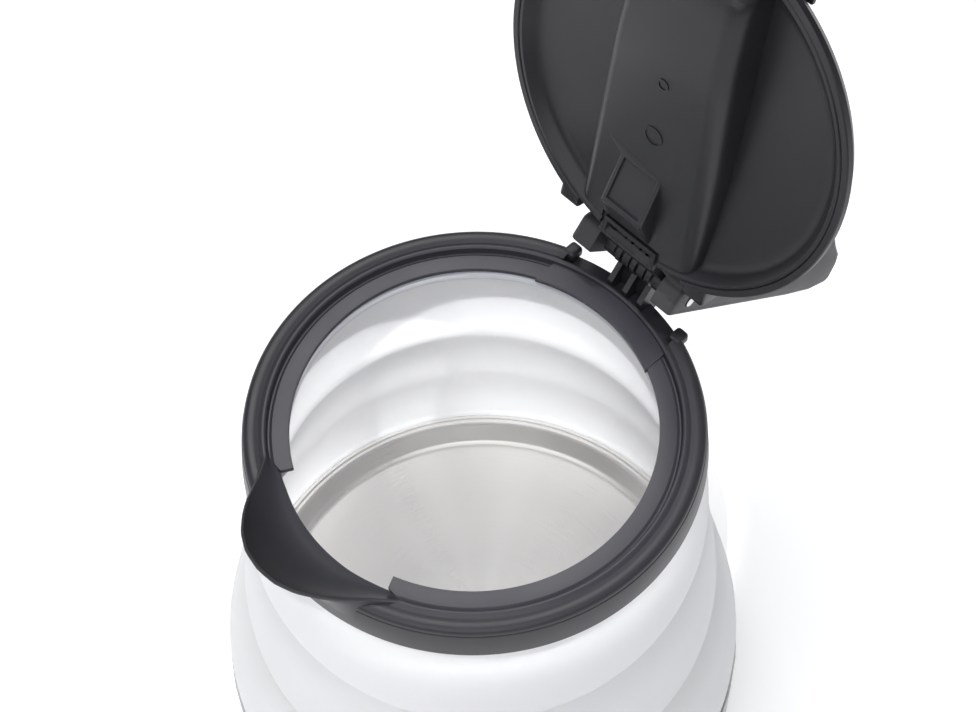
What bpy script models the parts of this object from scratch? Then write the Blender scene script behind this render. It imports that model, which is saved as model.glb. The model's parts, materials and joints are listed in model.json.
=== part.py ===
"""Collapsible electric travel kettle, modelled at its real size in metres.

Origin: on the kettle's axis, at the table. +Z is up, the handle is at +X and the spout at -X.
The lid stands open and the handle is swung out, as the kettle stands when it is filled.
"""
import math

import bmesh
import bpy
from mathutils import Matrix, Vector

# Clearances and fineness shared by all pieces
fit_gap = 0.0003
loose_gap = 0.0006
cut_overrun = 0.004
weld_distance = 0.000001
ring_segments = 48
hidden_segments = 28
small_segments = 12
bellows_segments = 40

# Base
base_radius = 0.0756
base_height = 0.0266
table_clearance = 0.0012
band_thickness = 0.0010
band_foot_height = 0.0014
shell_wall = 0.0022
flange_thickness = 0.0024
flange_inset = 0.0088
upstand_height = 0.0036
upstand_wall = 0.0022
cover_thickness = 0.0024
cover_recess = 0.0006

# Feet, base screws and their bosses
foot_count = 4
foot_radius = 0.0055
foot_taper = 0.0008
foot_inset = 0.0196
foot_turn = math.radians(20)
base_screw_count = 4
base_screw_turn = math.radians(45)
base_screw_inset = 0.0116
base_screw_radius = 0.0014
base_screw_length = 0.0085
base_screw_head_radius = 0.0026
base_screw_head_height = 0.0012
boss_radius = 0.0036

# Heating plate with its welded studs and nuts
plate_rim_overlap = 0.0025
plate_rim_rise = 0.0064
plate_rim_width = 0.0028
plate_wall_width = 0.0036
plate_depth = 0.0053
plate_thickness = 0.0010
seal_width = 0.0016
stud_count = 3
stud_turn = math.radians(60)
stud_inset = 0.0083
stud_radius = 0.0015
stud_length = 0.0082
stud_lug_thickness = 0.0022
stud_lug_width = 0.0100
stud_lug_drop = 0.0002
stud_lug_reach = 0.0123
nut_radius = 0.0031
nut_height = 0.0024

# Heater
spreader_inset = 0.0129
spreader_thickness = 0.0026
element_inset = 0.0100
element_tube_radius = 0.0033
element_open_angle = math.radians(56)
terminal_radius = 0.0012
terminal_length = 0.0060
thermostat_length = 0.0260
thermostat_width = 0.0180
thermostat_height = 0.0080
disc_radius = 0.0060
disc_thickness = 0.0007
disc_spacing = 0.0130
fuse_radius = 0.0022
fuse_length = 0.0120
fuse_offset_share = 0.55

# Mains inlet, under the handle
inlet_width = 0.0250
inlet_top_inset = 0.0038
inlet_bottom = 0.0078
inlet_length = 0.0240
inlet_wall = 0.0014
inlet_back = 0.0030
pin_radius = 0.0012
pin_spacing = 0.0060
pin_rise = 0.0034
pin_tail = 0.0050
lead_radius = 0.0011

# Switch lever and indicator
lever_width = 0.0140
lever_pivot_inset = 0.0076
lever_pivot_share = 0.564
lever_reach = 0.0160
lever_thickness = 0.0052
lever_tip_thickness = 0.0036
lever_droop = 0.0010
lever_window_height = 0.0130
switch_pin_radius = 0.0010
switch_cheek = 0.0018
switch_block_depth = 0.0070
switch_block_height = 0.0120
switch_block_setback = 0.0060
indicator_turn = math.radians(-74)
indicator_radius = 0.0022
indicator_proud = 0.0004
indicator_length = 0.0042
lamp_radius = 0.0018
lamp_length = 0.0060

# Silicone body: three tiers that nest, each with a crease above it
bellows_height = 0.1129
silicone_wall = 0.0021
bead_inset = 0.0007
bead_height = 0.0060
tier_height_shares = (0.345, 0.655)
tier_radius_shares = (0.13, 0.56)
crease_depth = 0.0024
shoulder_height = 0.0055
tier_crown = 0.0018

# Collar
collar_radius = 0.0600
collar_height = 0.0105
collar_skirt_wall = 0.0018
shoulder_inset = 0.0010
shoulder_drop = 0.0019
ledge_inset = 0.0074
ledge_width = 0.0056
ledge_depth = 0.0012
ledge_skin = 0.0015
ledge_wall_draft = 0.0003
ridge_width = 0.0014
ridge_height = 0.0002
groove_width = 0.0013
groove_depth = 0.0004
cuff_pocket_depth = 0.0046
cuff_inset = 0.0072
clamp_height = 0.0050
clamp_setback = 0.0006
clamp_lead = 0.0010
clamp_flare = 0.0025

# Spout
spout_overhang = 0.0089
spout_rise = 0.0070
spout_half_width = 0.0225
spout_corner_inset = 0.0112
spout_root_inset = 0.0002
spout_root_half_width = 0.0150
spout_wall = 0.0022
spout_lip_inset = 0.0100
spout_floor_depth = 0.0034
spout_curve_power = 2.2
spout_points = 12

# Hinge
hinge_overhang = 0.0006
hinge_rise = 0.0083
hinge_pin_radius = 0.0015
knuckle_radius = 0.0034
rib_spacing = 0.0052
rib_thickness = 0.0018
rib_eye_radius = 0.0036
rib_waist_share = 0.36
rib_waist_drop = 0.0079
seat_half_width = 0.0200
seat_inset = 0.0064
seat_depth = 0.0030
seat_slope_drop = 0.0022
nub_radius = 0.0016
nub_length = 0.0030

# Lid
lid_clearance = 0.0007
lid_height = 0.0105
lid_dome_shares = ((1.0, 0.19), (0.969, 0.43), (0.913, 0.65), (0.83, 0.79), (0.5, 0.92), (0.0, 1.0))
lid_wall = 0.0020
lid_skin = 0.0016
lid_open_angle = math.radians(105)
shoulder_half_width = 0.0250
shoulder_thickness = 0.0074
liner_wall = 0.0016
liner_skin = 0.0014
liner_depth = 0.0034
liner_rim_height = 0.0016
nose_thickness = 0.0018
tray_wall = 0.0015
tray_end_gap = 0.0040
bracket_half_width = 0.0100
bracket_thickness = 0.0018
slot_half_width = 0.0070
slot_height = 0.0026

# Handle
handle_tip_inset = 0.0170
handle_half_width = 0.0174
handle_tip_half_width = 0.0141
handle_thickness = 0.0197
handle_underside = 0.0045
handle_droop = math.radians(43.7)
handle_wall = 0.0020
handle_heel = 0.0076
handle_heel_thickness = 0.0088
cheek_inner = 0.0108
web_start = 0.0092
web_thickness = 0.0032
handle_cover_thickness = 0.0018
handle_cover_inset = 0.0148
handle_screw_radius = 0.0013
handle_screw_head_radius = 0.0024
handle_screw_head_height = 0.0010
handle_screw_length = 0.0080
handle_boss_radius = 0.0034
handle_screw_places_shares = (0.30, 0.72)

# Radii and lengths that follow from the sizes above
shell_outer_radius = base_radius - band_thickness - fit_gap
flange_inner_radius = base_radius - flange_inset
foot_circle_radius = base_radius - foot_inset
base_screw_circle_radius = base_radius - base_screw_inset
lever_pivot_radius = base_radius - lever_pivot_inset
bead_radius = base_radius - bead_inset
stud_circle_radius = flange_inner_radius - stud_inset
stud_lug_inner_radius = flange_inner_radius - stud_lug_reach
plate_rim_radius = flange_inner_radius + plate_rim_overlap
plate_disc_radius = plate_rim_radius - plate_rim_width - plate_wall_width
spreader_radius = plate_disc_radius - spreader_inset
element_circle_radius = spreader_radius - element_inset
fuse_offset = element_circle_radius * fuse_offset_share
collar_top_radius = collar_radius - shoulder_inset
ledge_radius = collar_radius - ledge_inset
mouth_radius = ledge_radius - ledge_width
cuff_inner_radius = collar_radius - cuff_inset
seat_inner_radius = collar_radius - seat_inset
spout_reach = collar_radius + spout_overhang
spout_corner = collar_radius - spout_corner_inset
spout_root_reach = collar_radius - spout_root_inset
spout_lip_radius = collar_radius - spout_lip_inset
hinge_radius = collar_radius + hinge_overhang
lid_radius = ledge_radius - lid_clearance
handle_length = hinge_radius + lid_radius - handle_tip_inset

# Heights that follow from the sizes above
collar_foot = base_height + bellows_height
collar_top = collar_foot + collar_height
ledge_top = collar_top - ledge_depth
lid_foot = ledge_top + fit_gap
lid_top = lid_foot + lid_height
liner_face = lid_foot + liner_depth
hinge_height = collar_top + hinge_rise
flange_top = base_height + fit_gap
flange_foot = flange_top - flange_thickness
inlet_height = base_height - inlet_top_inset - inlet_bottom
lever_pivot_height = base_height * lever_pivot_share
plate_rim_height = base_height + plate_rim_rise
plate_floor = plate_rim_height - plate_depth
plate_underside = plate_floor - plate_thickness
spreader_top = plate_underside - fit_gap
spreader_foot = spreader_top - spreader_thickness


def clear_scene():
    """Remove every object that the file opens with."""
    for old in list(bpy.data.objects):
        bpy.data.objects.remove(old, do_unlink=True)


def make_material(name, colour, roughness, metallic=0.0):
    """A Principled material with the part's colour and finish."""
    made = bpy.data.materials.new(name)
    made.use_nodes = True
    shader = made.node_tree.nodes["Principled BSDF"]
    shader.inputs["Base Color"].default_value = (*colour, 1.0)
    shader.inputs["Roughness"].default_value = roughness
    shader.inputs["Metallic"].default_value = metallic
    return made


def add_object(name, bm, made, parent=None, smooth=True):
    """Turn a bmesh into a named object with its material."""
    mesh = bpy.data.meshes.new(name)
    bm.to_mesh(mesh)
    bm.free()
    mesh.materials.append(made)
    if smooth:
        mesh.shade_smooth()
        mesh.set_sharp_from_angle(angle=math.radians(35))
    added = bpy.data.objects.new(name, mesh)
    bpy.context.collection.objects.link(added)
    added.parent = parent
    return added


def add_each(name, shapes, made, parent=None, smooth=True):
    """One numbered object for each copy of a repeated piece."""
    return [add_object(f"{name}_{index}", shape, made, parent, smooth)
            for index, shape in enumerate(shapes, start=1)]


def add_cutter(name, bm, parent=None):
    """A hidden object that only cuts or joins another one."""
    mesh = bpy.data.meshes.new(name)
    bm.to_mesh(mesh)
    bm.free()
    cutter = bpy.data.objects.new(name, mesh)
    bpy.context.collection.objects.link(cutter)
    cutter.parent = parent
    cutter.hide_render = True
    cutter.display_type = "WIRE"
    return cutter


def combine(target, operation, cutter):
    """Cut, join or intersect a piece with another object."""
    step = target.modifiers.new(cutter.name, "BOOLEAN")
    step.operation = operation
    step.solver = "EXACT"
    step.object = cutter
    return step


def add_pivot(name, place, parent=None, turn=0.0):
    """An empty on a joint's axis that carries the moving pieces, turned about Y."""
    pivot = bpy.data.objects.new(name, None)
    bpy.context.collection.objects.link(pivot)
    pivot.parent = parent
    pivot.location = place
    pivot.rotation_euler = (0.0, turn, 0.0)
    return pivot


def turned(profile, segments=ring_segments):
    """Spin a closed outline of (radius, height) points once around the Z axis."""
    bm = bmesh.new()
    verts = [bm.verts.new((radius, 0.0, height)) for radius, height in profile]
    edges = []
    for start, end in zip(verts, verts[1:] + verts[:1]):
        if start.co.x > 0.0 or end.co.x > 0.0:
            edges.append(bm.edges.new((start, end)))
    bmesh.ops.spin(bm, geom=verts + edges, cent=(0, 0, 0), axis=(0, 0, 1), angle=math.tau,
                   steps=segments, use_merge=True)
    bmesh.ops.remove_doubles(bm, verts=bm.verts, dist=weld_distance)
    bmesh.ops.recalc_face_normals(bm, faces=bm.faces)
    return bm


def prism(outline, low, high, plane="xz"):
    """Extrude a closed outline between two distances along its plane's normal."""
    places = {
        "xz": lambda a, b, depth: (a, depth, b),
        "xy": lambda a, b, depth: (a, b, depth),
        "yz": lambda a, b, depth: (depth, a, b),
    }
    place = places[plane]
    bm = bmesh.new()
    face = bm.faces.new([bm.verts.new(place(a, b, low)) for a, b in outline])
    grown = bmesh.ops.extrude_face_region(bm, geom=[face])
    moved = [item for item in grown["geom"] if isinstance(item, bmesh.types.BMVert)]
    bmesh.ops.translate(bm, verts=moved, vec=Vector(place(0.0, 0.0, high - low)))
    bmesh.ops.recalc_face_normals(bm, faces=bm.faces)
    return bm


def block(x_low, x_high, y_low, y_high, z_low, z_high):
    """A box between two corners."""
    outline = [(x_low, y_low), (x_high, y_low), (x_high, y_high), (x_low, y_high)]
    return prism(outline, z_low, z_high, "xy")


def rod(radius, start, end, segments=small_segments, end_radius=None):
    """A cylinder or a cone between two points."""
    start = Vector(start)
    along = Vector(end) - start
    place = Matrix.Translation(start + along / 2) @ along.to_track_quat("Z", "Y").to_matrix().to_4x4()
    bm = bmesh.new()
    bmesh.ops.create_cone(bm, cap_ends=True, segments=segments, radius1=radius,
                          radius2=radius if end_radius is None else end_radius,
                          depth=along.length, matrix=place)
    return bm


def stacked(sections):
    """Join closed outlines of equal length, each a list of points, into one solid."""
    bm = bmesh.new()
    loops = [[bm.verts.new(point) for point in section] for section in sections]
    for lower, upper in zip(loops, loops[1:]):
        for index in range(len(lower)):
            after = (index + 1) % len(lower)
            bm.faces.new((lower[index], lower[after], upper[after], upper[index]))
    bm.faces.new(loops[0])
    bm.faces.new(loops[-1])
    bmesh.ops.recalc_face_normals(bm, faces=bm.faces)
    return bm


def merged(shapes):
    """Put separate shapes that don't touch into one bmesh."""
    whole = bmesh.new()
    for shape in shapes:
        scratch = bpy.data.meshes.new("scratch")
        shape.to_mesh(scratch)
        shape.free()
        whole.from_mesh(scratch)
        bpy.data.meshes.remove(scratch)
    return whole


def around(count, radius, turn=0.0):
    """Places evenly spaced on a circle about the axis, as (angle, x, y)."""
    places = []
    for index in range(count):
        angle = turn + math.tau * index / count
        places.append((angle, radius * math.cos(angle), radius * math.sin(angle)))
    return places


def radial_block(angle, inner, outer, half_width, low, high):
    """A box that points outwards at an angle about the axis."""
    bm = block(inner, outer, -half_width, half_width, low, high)
    bmesh.ops.rotate(bm, verts=bm.verts, cent=(0, 0, 0), matrix=Matrix.Rotation(angle, 3, "Z"))
    return bm


# Base

def inlet_bounds(margin):
    """The mains inlet's width and height as (low y, high y, low z, high z), with a margin."""
    return (-inlet_width / 2 - margin, inlet_width / 2 + margin,
            inlet_bottom - margin, inlet_bottom + inlet_height + margin)


def cut_base_windows(target, name):
    """Open the wall for the inlet, the lever and the indicator."""
    y_low, y_high, z_low, z_high = inlet_bounds(fit_gap)
    lever_low = lever_pivot_height - lever_window_height / 2
    lens_height = lever_pivot_height
    inner = shell_outer_radius - shell_wall - cut_overrun
    outer = base_radius + cut_overrun
    lens_axis = Vector((math.cos(indicator_turn), math.sin(indicator_turn), 0.0))
    lens_lift = Vector((0.0, 0.0, lens_height))
    windows = merged([
        block(inner, outer, y_low, y_high, z_low, z_high),
        block(-lever_width / 2 - loose_gap, lever_width / 2 + loose_gap, -outer, -inner,
              lever_low, lever_low + lever_window_height),
        rod(indicator_radius + fit_gap, lens_axis * inner + lens_lift,
            lens_axis * outer + lens_lift),
    ])
    combine(target, "DIFFERENCE", add_cutter(name, windows))


def build_base_shell(made):
    """Moulded ring: outer wall, top flange and the upstand that carries the plate."""
    foot_radius_out = base_radius - fit_gap
    wall_inner = shell_outer_radius - shell_wall
    upstand_radius = flange_inner_radius + upstand_wall
    profile = [
        (foot_radius_out, table_clearance),
        (foot_radius_out, table_clearance + band_foot_height),
        (shell_outer_radius, table_clearance + band_foot_height),
        (shell_outer_radius, flange_top),
        (upstand_radius, flange_top),
        (upstand_radius, flange_top + upstand_height),
        (flange_inner_radius, flange_top + upstand_height),
        (flange_inner_radius, flange_foot),
        (wall_inner, flange_foot),
        (wall_inner, table_clearance),
    ]
    shell = add_object("base_shell", turned(profile), made)
    cover_top = table_clearance + cover_recess + cover_thickness
    bosses = [rod(boss_radius, (x, y, cover_top + fit_gap), (x, y, flange_foot + cut_overrun / 4))
              for _, x, y in around(base_screw_count, base_screw_circle_radius, base_screw_turn)]
    combine(shell, "UNION", add_cutter("boss_shapes", merged(bosses)))
    webs = [radial_block(angle, base_screw_circle_radius, shell_outer_radius - shell_wall / 2,
                         boss_radius / 2, cover_top + fit_gap, flange_foot + cut_overrun / 4)
            for angle, _, _ in around(base_screw_count, 1.0, base_screw_turn)]
    combine(shell, "UNION", add_cutter("boss_webs", merged(webs)))
    lug_top = flange_foot + flange_thickness / 2
    lugs = [radial_block(angle, stud_lug_inner_radius, flange_inner_radius + upstand_wall,
                         stud_lug_width / 2, lug_top - stud_lug_thickness, lug_top - stud_lug_drop)
            for angle, _, _ in around(stud_count, 1.0, stud_turn)]
    combine(shell, "UNION", add_cutter("stud_lugs", merged(lugs)))
    holes = [rod(base_screw_radius + fit_gap, (x, y, table_clearance),
                 (x, y, cover_top + base_screw_length))
             for _, x, y in around(base_screw_count, base_screw_circle_radius, base_screw_turn)]
    holes += [rod(stud_radius + fit_gap, (x, y, lug_top - stud_lug_thickness - cut_overrun),
                  (x, y, lug_top + cut_overrun / 4))
              for _, x, y in around(stud_count, stud_circle_radius, stud_turn)]
    combine(shell, "DIFFERENCE", add_cutter("shell_holes", merged(holes)))
    cut_base_windows(shell, "shell_windows")
    return shell


def build_base_band(made):
    """Brushed steel ring round the base."""
    low = table_clearance + band_foot_height + fit_gap
    inner = base_radius - band_thickness
    profile = [(base_radius, low), (base_radius, base_height), (inner, base_height), (inner, low)]
    band = add_object("base_band", turned(profile), made)
    cut_base_windows(band, "band_windows")
    return band


def build_base_cover(made):
    """Bottom plate, held by screws whose heads sit in counterbores."""
    radius = shell_outer_radius - shell_wall - fit_gap
    low = table_clearance + cover_recess
    profile = [(0.0, low), (radius, low), (radius, low + cover_thickness), (0.0, low + cover_thickness)]
    cover = add_object("base_cover", turned(profile, hidden_segments), made)
    holes = []
    for _, x, y in around(base_screw_count, base_screw_circle_radius, base_screw_turn):
        holes.append(rod(base_screw_radius + fit_gap, (x, y, low - cut_overrun),
                         (x, y, low + cover_thickness + cut_overrun)))
    combine(cover, "DIFFERENCE", add_cutter("cover_holes", merged(holes)))
    sinks = []
    for _, x, y in around(base_screw_count, base_screw_circle_radius, base_screw_turn):
        sinks.append(rod(base_screw_head_radius + fit_gap, (x, y, low - cut_overrun),
                         (x, y, low + base_screw_head_height)))
    combine(cover, "DIFFERENCE", add_cutter("cover_counterbores", merged(sinks)))
    return cover


def build_feet(made):
    """Four rubber pads under the cover."""
    top = table_clearance + cover_recess
    pads = [rod(foot_radius - foot_taper, (x, y, 0.0), (x, y, top - fit_gap / 3), end_radius=foot_radius)
            for _, x, y in around(foot_count, foot_circle_radius, foot_turn)]
    return add_each("foot", pads, made)


def screw(radius, head_radius, head_height, length, foot):
    """A pan-head screw that points up from its head."""
    low = foot.z
    profile = [(0.0, low), (head_radius, low), (head_radius, low + head_height),
               (radius, low + head_height), (radius, low + head_height + length),
               (0.0, low + head_height + length)]
    bm = turned(profile, small_segments)
    bmesh.ops.translate(bm, verts=bm.verts, vec=(foot.x, foot.y, 0.0))
    return bm


def build_base_screws(made):
    """Screws that hold the cover to the shell's bosses."""
    seat = table_clearance + cover_recess + base_screw_head_height - fit_gap
    shapes = [screw(base_screw_radius, base_screw_head_radius, base_screw_head_height,
                    base_screw_length, Vector((x, y, seat - base_screw_head_height)))
              for _, x, y in around(base_screw_count, base_screw_circle_radius, base_screw_turn)]
    return add_each("base_screw", shapes, made)


def build_heating_plate(made):
    """Pressed steel dish with three welded studs."""
    edge = plate_rim_radius - plate_rim_width
    run = edge - plate_disc_radius
    slant = math.hypot(run, plate_depth)
    out = plate_thickness * plate_depth / slant
    down = plate_thickness * run / slant
    lean = (plate_thickness - down) * run / plate_depth
    rim_under = edge + out - lean
    disc_under = plate_disc_radius + out - lean
    profile = [
        (0.0, plate_floor),
        (plate_disc_radius, plate_floor),
        (edge, plate_rim_height),
        (plate_rim_radius, plate_rim_height),
        (plate_rim_radius, plate_rim_height - plate_thickness),
        (rim_under, plate_rim_height - plate_thickness),
        (disc_under, plate_underside),
        (0.0, plate_underside),
    ]
    plate = add_object("heating_plate", turned(profile), made)
    studs = [rod(stud_radius, (x, y, plate_underside - stud_length + cut_overrun / 8),
                 (x, y, plate_underside + plate_thickness / 2), hidden_segments // 3)
             for _, x, y in around(stud_count, stud_circle_radius, stud_turn)]
    combine(plate, "UNION", add_cutter("stud_shapes", merged(studs)))
    return plate


def build_plate_seal(made):
    """Flat gasket between the shell's upstand and the plate's rim."""
    low = flange_top + upstand_height + fit_gap
    high = plate_rim_height - plate_thickness - fit_gap
    outer = flange_inner_radius + upstand_wall - fit_gap
    inner = outer - seal_width
    profile = [(outer, low), (outer, high), (inner, high), (inner, low)]
    return add_object("plate_seal", turned(profile), made)


def build_plate_nuts(made):
    """Hexagon nuts on the plate's studs, under the shell's lugs."""
    top = flange_foot + flange_thickness / 2 - stud_lug_thickness - fit_gap
    nuts = []
    for _, x, y in around(stud_count, stud_circle_radius, stud_turn):
        hexagon = rod(nut_radius, (x, y, top - nut_height), (x, y, top), 6)
        nuts.append(hexagon)
    pieces = add_each("plate_nut", nuts, made, smooth=False)
    bores = [rod(stud_radius + fit_gap / 2, (x, y, top - nut_height - cut_overrun),
                 (x, y, top + cut_overrun), hidden_segments // 3)
             for _, x, y in around(stud_count, stud_circle_radius, stud_turn)]
    cutter = add_cutter("nut_bores", merged(bores))
    for piece in pieces:
        combine(piece, "DIFFERENCE", cutter)
    return pieces


def build_heat_spreader(made):
    """Aluminium disc pressed against the plate's underside."""
    profile = [(0.0, spreader_foot), (spreader_radius, spreader_foot), (spreader_radius, spreader_top),
               (0.0, spreader_top)]
    return add_object("heat_spreader", turned(profile, hidden_segments), made)


def element_height():
    """Height of the heating tube's centre line."""
    return spreader_foot - fit_gap - element_tube_radius


def build_heating_element(made):
    """Sheathed tube bent to an open ring below the spreader."""
    bm = bmesh.new()
    half_gap = element_open_angle / 2
    turn = Matrix.Rotation(half_gap, 4, "Z")
    place = turn @ Matrix.Translation((element_circle_radius, 0.0, element_height()))
    place = place @ Matrix.Rotation(math.pi / 2, 4, "X")
    made_circle = bmesh.ops.create_circle(bm, segments=8, radius=element_tube_radius, matrix=place,
                                          cap_ends=True)
    face = made_circle["verts"][0].link_faces[0]
    bmesh.ops.spin(bm, geom=[face] + list(face.edges) + list(face.verts), cent=(0, 0, 0), axis=(0, 0, 1),
                   angle=math.tau - element_open_angle, steps=24)
    bmesh.ops.recalc_face_normals(bm, faces=bm.faces)
    return add_object("heating_element", bm, made)


def build_element_terminals(made):
    """Cold pins that leave the two ends of the heating tube."""
    pins = []
    for side in (-1, 1):
        angle = side * element_open_angle / 2
        end = Vector((math.cos(angle), math.sin(angle), 0.0)) * element_circle_radius
        end.z = element_height()
        inward = Vector((math.sin(angle), -math.cos(angle), 0.0)) * side
        pins.append(rod(terminal_radius, end + inward * fit_gap,
                        end + inward * (fit_gap + terminal_length), small_segments))
    return add_each("element_terminal", pins, made)


def thermostat_top():
    """Height of the thermostat block's top face."""
    return spreader_foot - 2 * fit_gap - disc_thickness


def build_thermostat(made_body, made_disc):
    """Dry-boil control: a block with two bimetal discs against the spreader."""
    top = thermostat_top()
    body = block(-thermostat_length / 2, thermostat_length / 2, -thermostat_width / 2,
                 thermostat_width / 2, top - thermostat_height, top)
    bmesh.ops.bevel(body, geom=list(body.edges), offset=pin_radius, segments=1, affect="EDGES")
    discs = [rod(disc_radius, (x, 0.0, top + fit_gap), (x, 0.0, top + fit_gap + disc_thickness))
             for x in (-disc_spacing / 2, disc_spacing / 2)]
    add_object("thermostat_block", body, made_body)
    add_each("thermostat_disc", discs, made_disc)


def build_thermal_fuse(made):
    """Thermal cut-out that lies against the spreader."""
    height = spreader_foot - fit_gap - fuse_radius
    start = (-fuse_length / 2, fuse_offset, height)
    end = (fuse_length / 2, fuse_offset, height)
    return add_object("thermal_fuse", rod(fuse_radius, start, end, 12), made)


def inlet_inner_end():
    """How far out the inlet's inner end lies."""
    return base_radius - inlet_length


def build_inlet(made_socket, made_pins):
    """Moulded socket in the base wall with three round pins."""
    y_low, y_high, z_low, z_high = inlet_bounds(0.0)
    inner = inlet_inner_end()
    socket = add_object("inlet_socket", block(inner, base_radius, y_low, y_high, z_low, z_high),
                        made_socket, smooth=False)
    cavity = block(inner + inlet_back, base_radius + cut_overrun, y_low + inlet_wall, y_high - inlet_wall,
                   z_low + inlet_wall, z_high - inlet_wall)
    combine(socket, "DIFFERENCE", add_cutter("inlet_cavity", cavity))
    pins = []
    bores = []
    height = inlet_bottom + inlet_wall + pin_rise
    for step in (-1, 0, 1):
        start = (inner - pin_tail, step * pin_spacing, height)
        end = (base_radius - inlet_back, step * pin_spacing, height)
        pins.append(rod(pin_radius, start, end, 12))
        bores.append(rod(pin_radius + fit_gap, (inner - cut_overrun, start[1], height),
                         (inner + inlet_back + cut_overrun, start[1], height), 12))
    combine(socket, "DIFFERENCE", add_cutter("inlet_bores", merged(bores)))
    add_each("inlet_pin", pins, made_pins)


def smooth_route(points, steps=4):
    """Points read from a smooth curve through a route's own points; its end runs stay straight."""
    route = [points[0]]
    for before, start, end, after in zip(points, points[1:], points[2:], points[3:]):
        for step in range(steps):
            share = step / steps
            pull = (end - before) / 2 * (share - 2 * share ** 2 + share ** 3)
            push = (after - start) / 2 * (share ** 3 - share ** 2)
            along = start * (1 - 3 * share ** 2 + 2 * share ** 3) + end * (3 * share ** 2 - 2 * share ** 3)
            route.append(along + pull + push)
    return route + [points[-2], points[-1]]


def tube(name, routes, radius, made):
    """Round wires along smooth routes, one object each."""
    shapes = []
    for route in routes:
        curve = bpy.data.curves.new("scratch_route", "CURVE")
        curve.dimensions = "3D"
        curve.bevel_depth = radius
        curve.bevel_resolution = 2
        curve.use_fill_caps = True
        spline = curve.splines.new("POLY")
        points = smooth_route(route)
        spline.points.add(len(points) - 1)
        for spot, point in zip(spline.points, points):
            spot.co = (*point, 1.0)
        holder = bpy.data.objects.new("scratch_route", curve)
        bpy.context.collection.objects.link(holder)
        bpy.context.view_layer.update()
        mesh = bpy.data.meshes.new_from_object(holder.evaluated_get(bpy.context.evaluated_depsgraph_get()))
        bm = bmesh.new()
        bm.from_mesh(mesh)
        bmesh.ops.remove_doubles(bm, verts=bm.verts, dist=weld_distance)
        bmesh.ops.recalc_face_normals(bm, faces=bm.faces)
        shapes.append(bm)
        bpy.data.objects.remove(holder, do_unlink=True)
        bpy.data.meshes.remove(mesh)
    return add_each(name, shapes, made)


def build_lead_wires(made):
    """Live, neutral and earth leads from the inlet pins to what they feed."""
    start_x = inlet_inner_end() - pin_tail - fit_gap
    height = inlet_bottom + inlet_wall + pin_rise
    low = table_clearance + cover_recess + cover_thickness + 2 * lead_radius
    run = 3 * lead_radius
    side_angle = element_open_angle / 2
    end = Vector((math.cos(side_angle), math.sin(side_angle), 0.0)) * element_circle_radius
    toward = Vector((math.sin(side_angle), -math.cos(side_angle), 0.0)) * (terminal_length + 2 * fit_gap)
    neutral_end = end + toward + Vector((0.0, 0.0, element_height()))
    thermostat_side = thermostat_width / 2 + fit_gap
    thermostat_mid = thermostat_top() - thermostat_height / 2
    switch_back = -(lever_pivot_radius - switch_block_setback - switch_block_depth - fit_gap)
    stub = 2 * lead_radius
    out_x = Vector((-stub, 0.0, 0.0))
    out_y = Vector((0.0, stub, 0.0))
    live_start = Vector((start_x, -pin_spacing, height))
    live_end = Vector((lever_width / 4, switch_back, lever_pivot_height - lead_radius))
    live = [live_start, live_start + out_x, Vector((start_x - 3 * run, -pin_spacing - 2 * run, low)),
            Vector((spreader_radius / 2, switch_back * 0.6, low)), live_end + 3 * out_y,
            live_end + out_y, live_end]
    neutral_start = Vector((start_x, pin_spacing, height))
    away = toward.normalized() * stub
    neutral = [neutral_start, neutral_start + out_x, neutral_end + away, neutral_end]
    back_start = Vector((-lever_width / 4, switch_back, lever_pivot_height - lead_radius))
    back_end = Vector((-lever_width / 4, -thermostat_side, thermostat_mid))
    back = [back_start, back_start + out_y, back_start + 4 * out_y - Vector((0.0, 0.0, run)),
            back_end - 4 * out_y - Vector((0.0, 0.0, run)), back_end - out_y, back_end]
    earth_start = Vector((start_x, 0.0, height))
    earth_end = Vector((thermostat_length / 2 + fit_gap, 0.0, thermostat_mid - run / 2))
    earth = [earth_start, earth_start + out_x, earth_end - 4 * out_x - Vector((0.0, 0.0, run / 2)),
             earth_end - out_x, earth_end]
    return tube("lead_wire", [live, neutral, back, earth], lead_radius, made)


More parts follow.
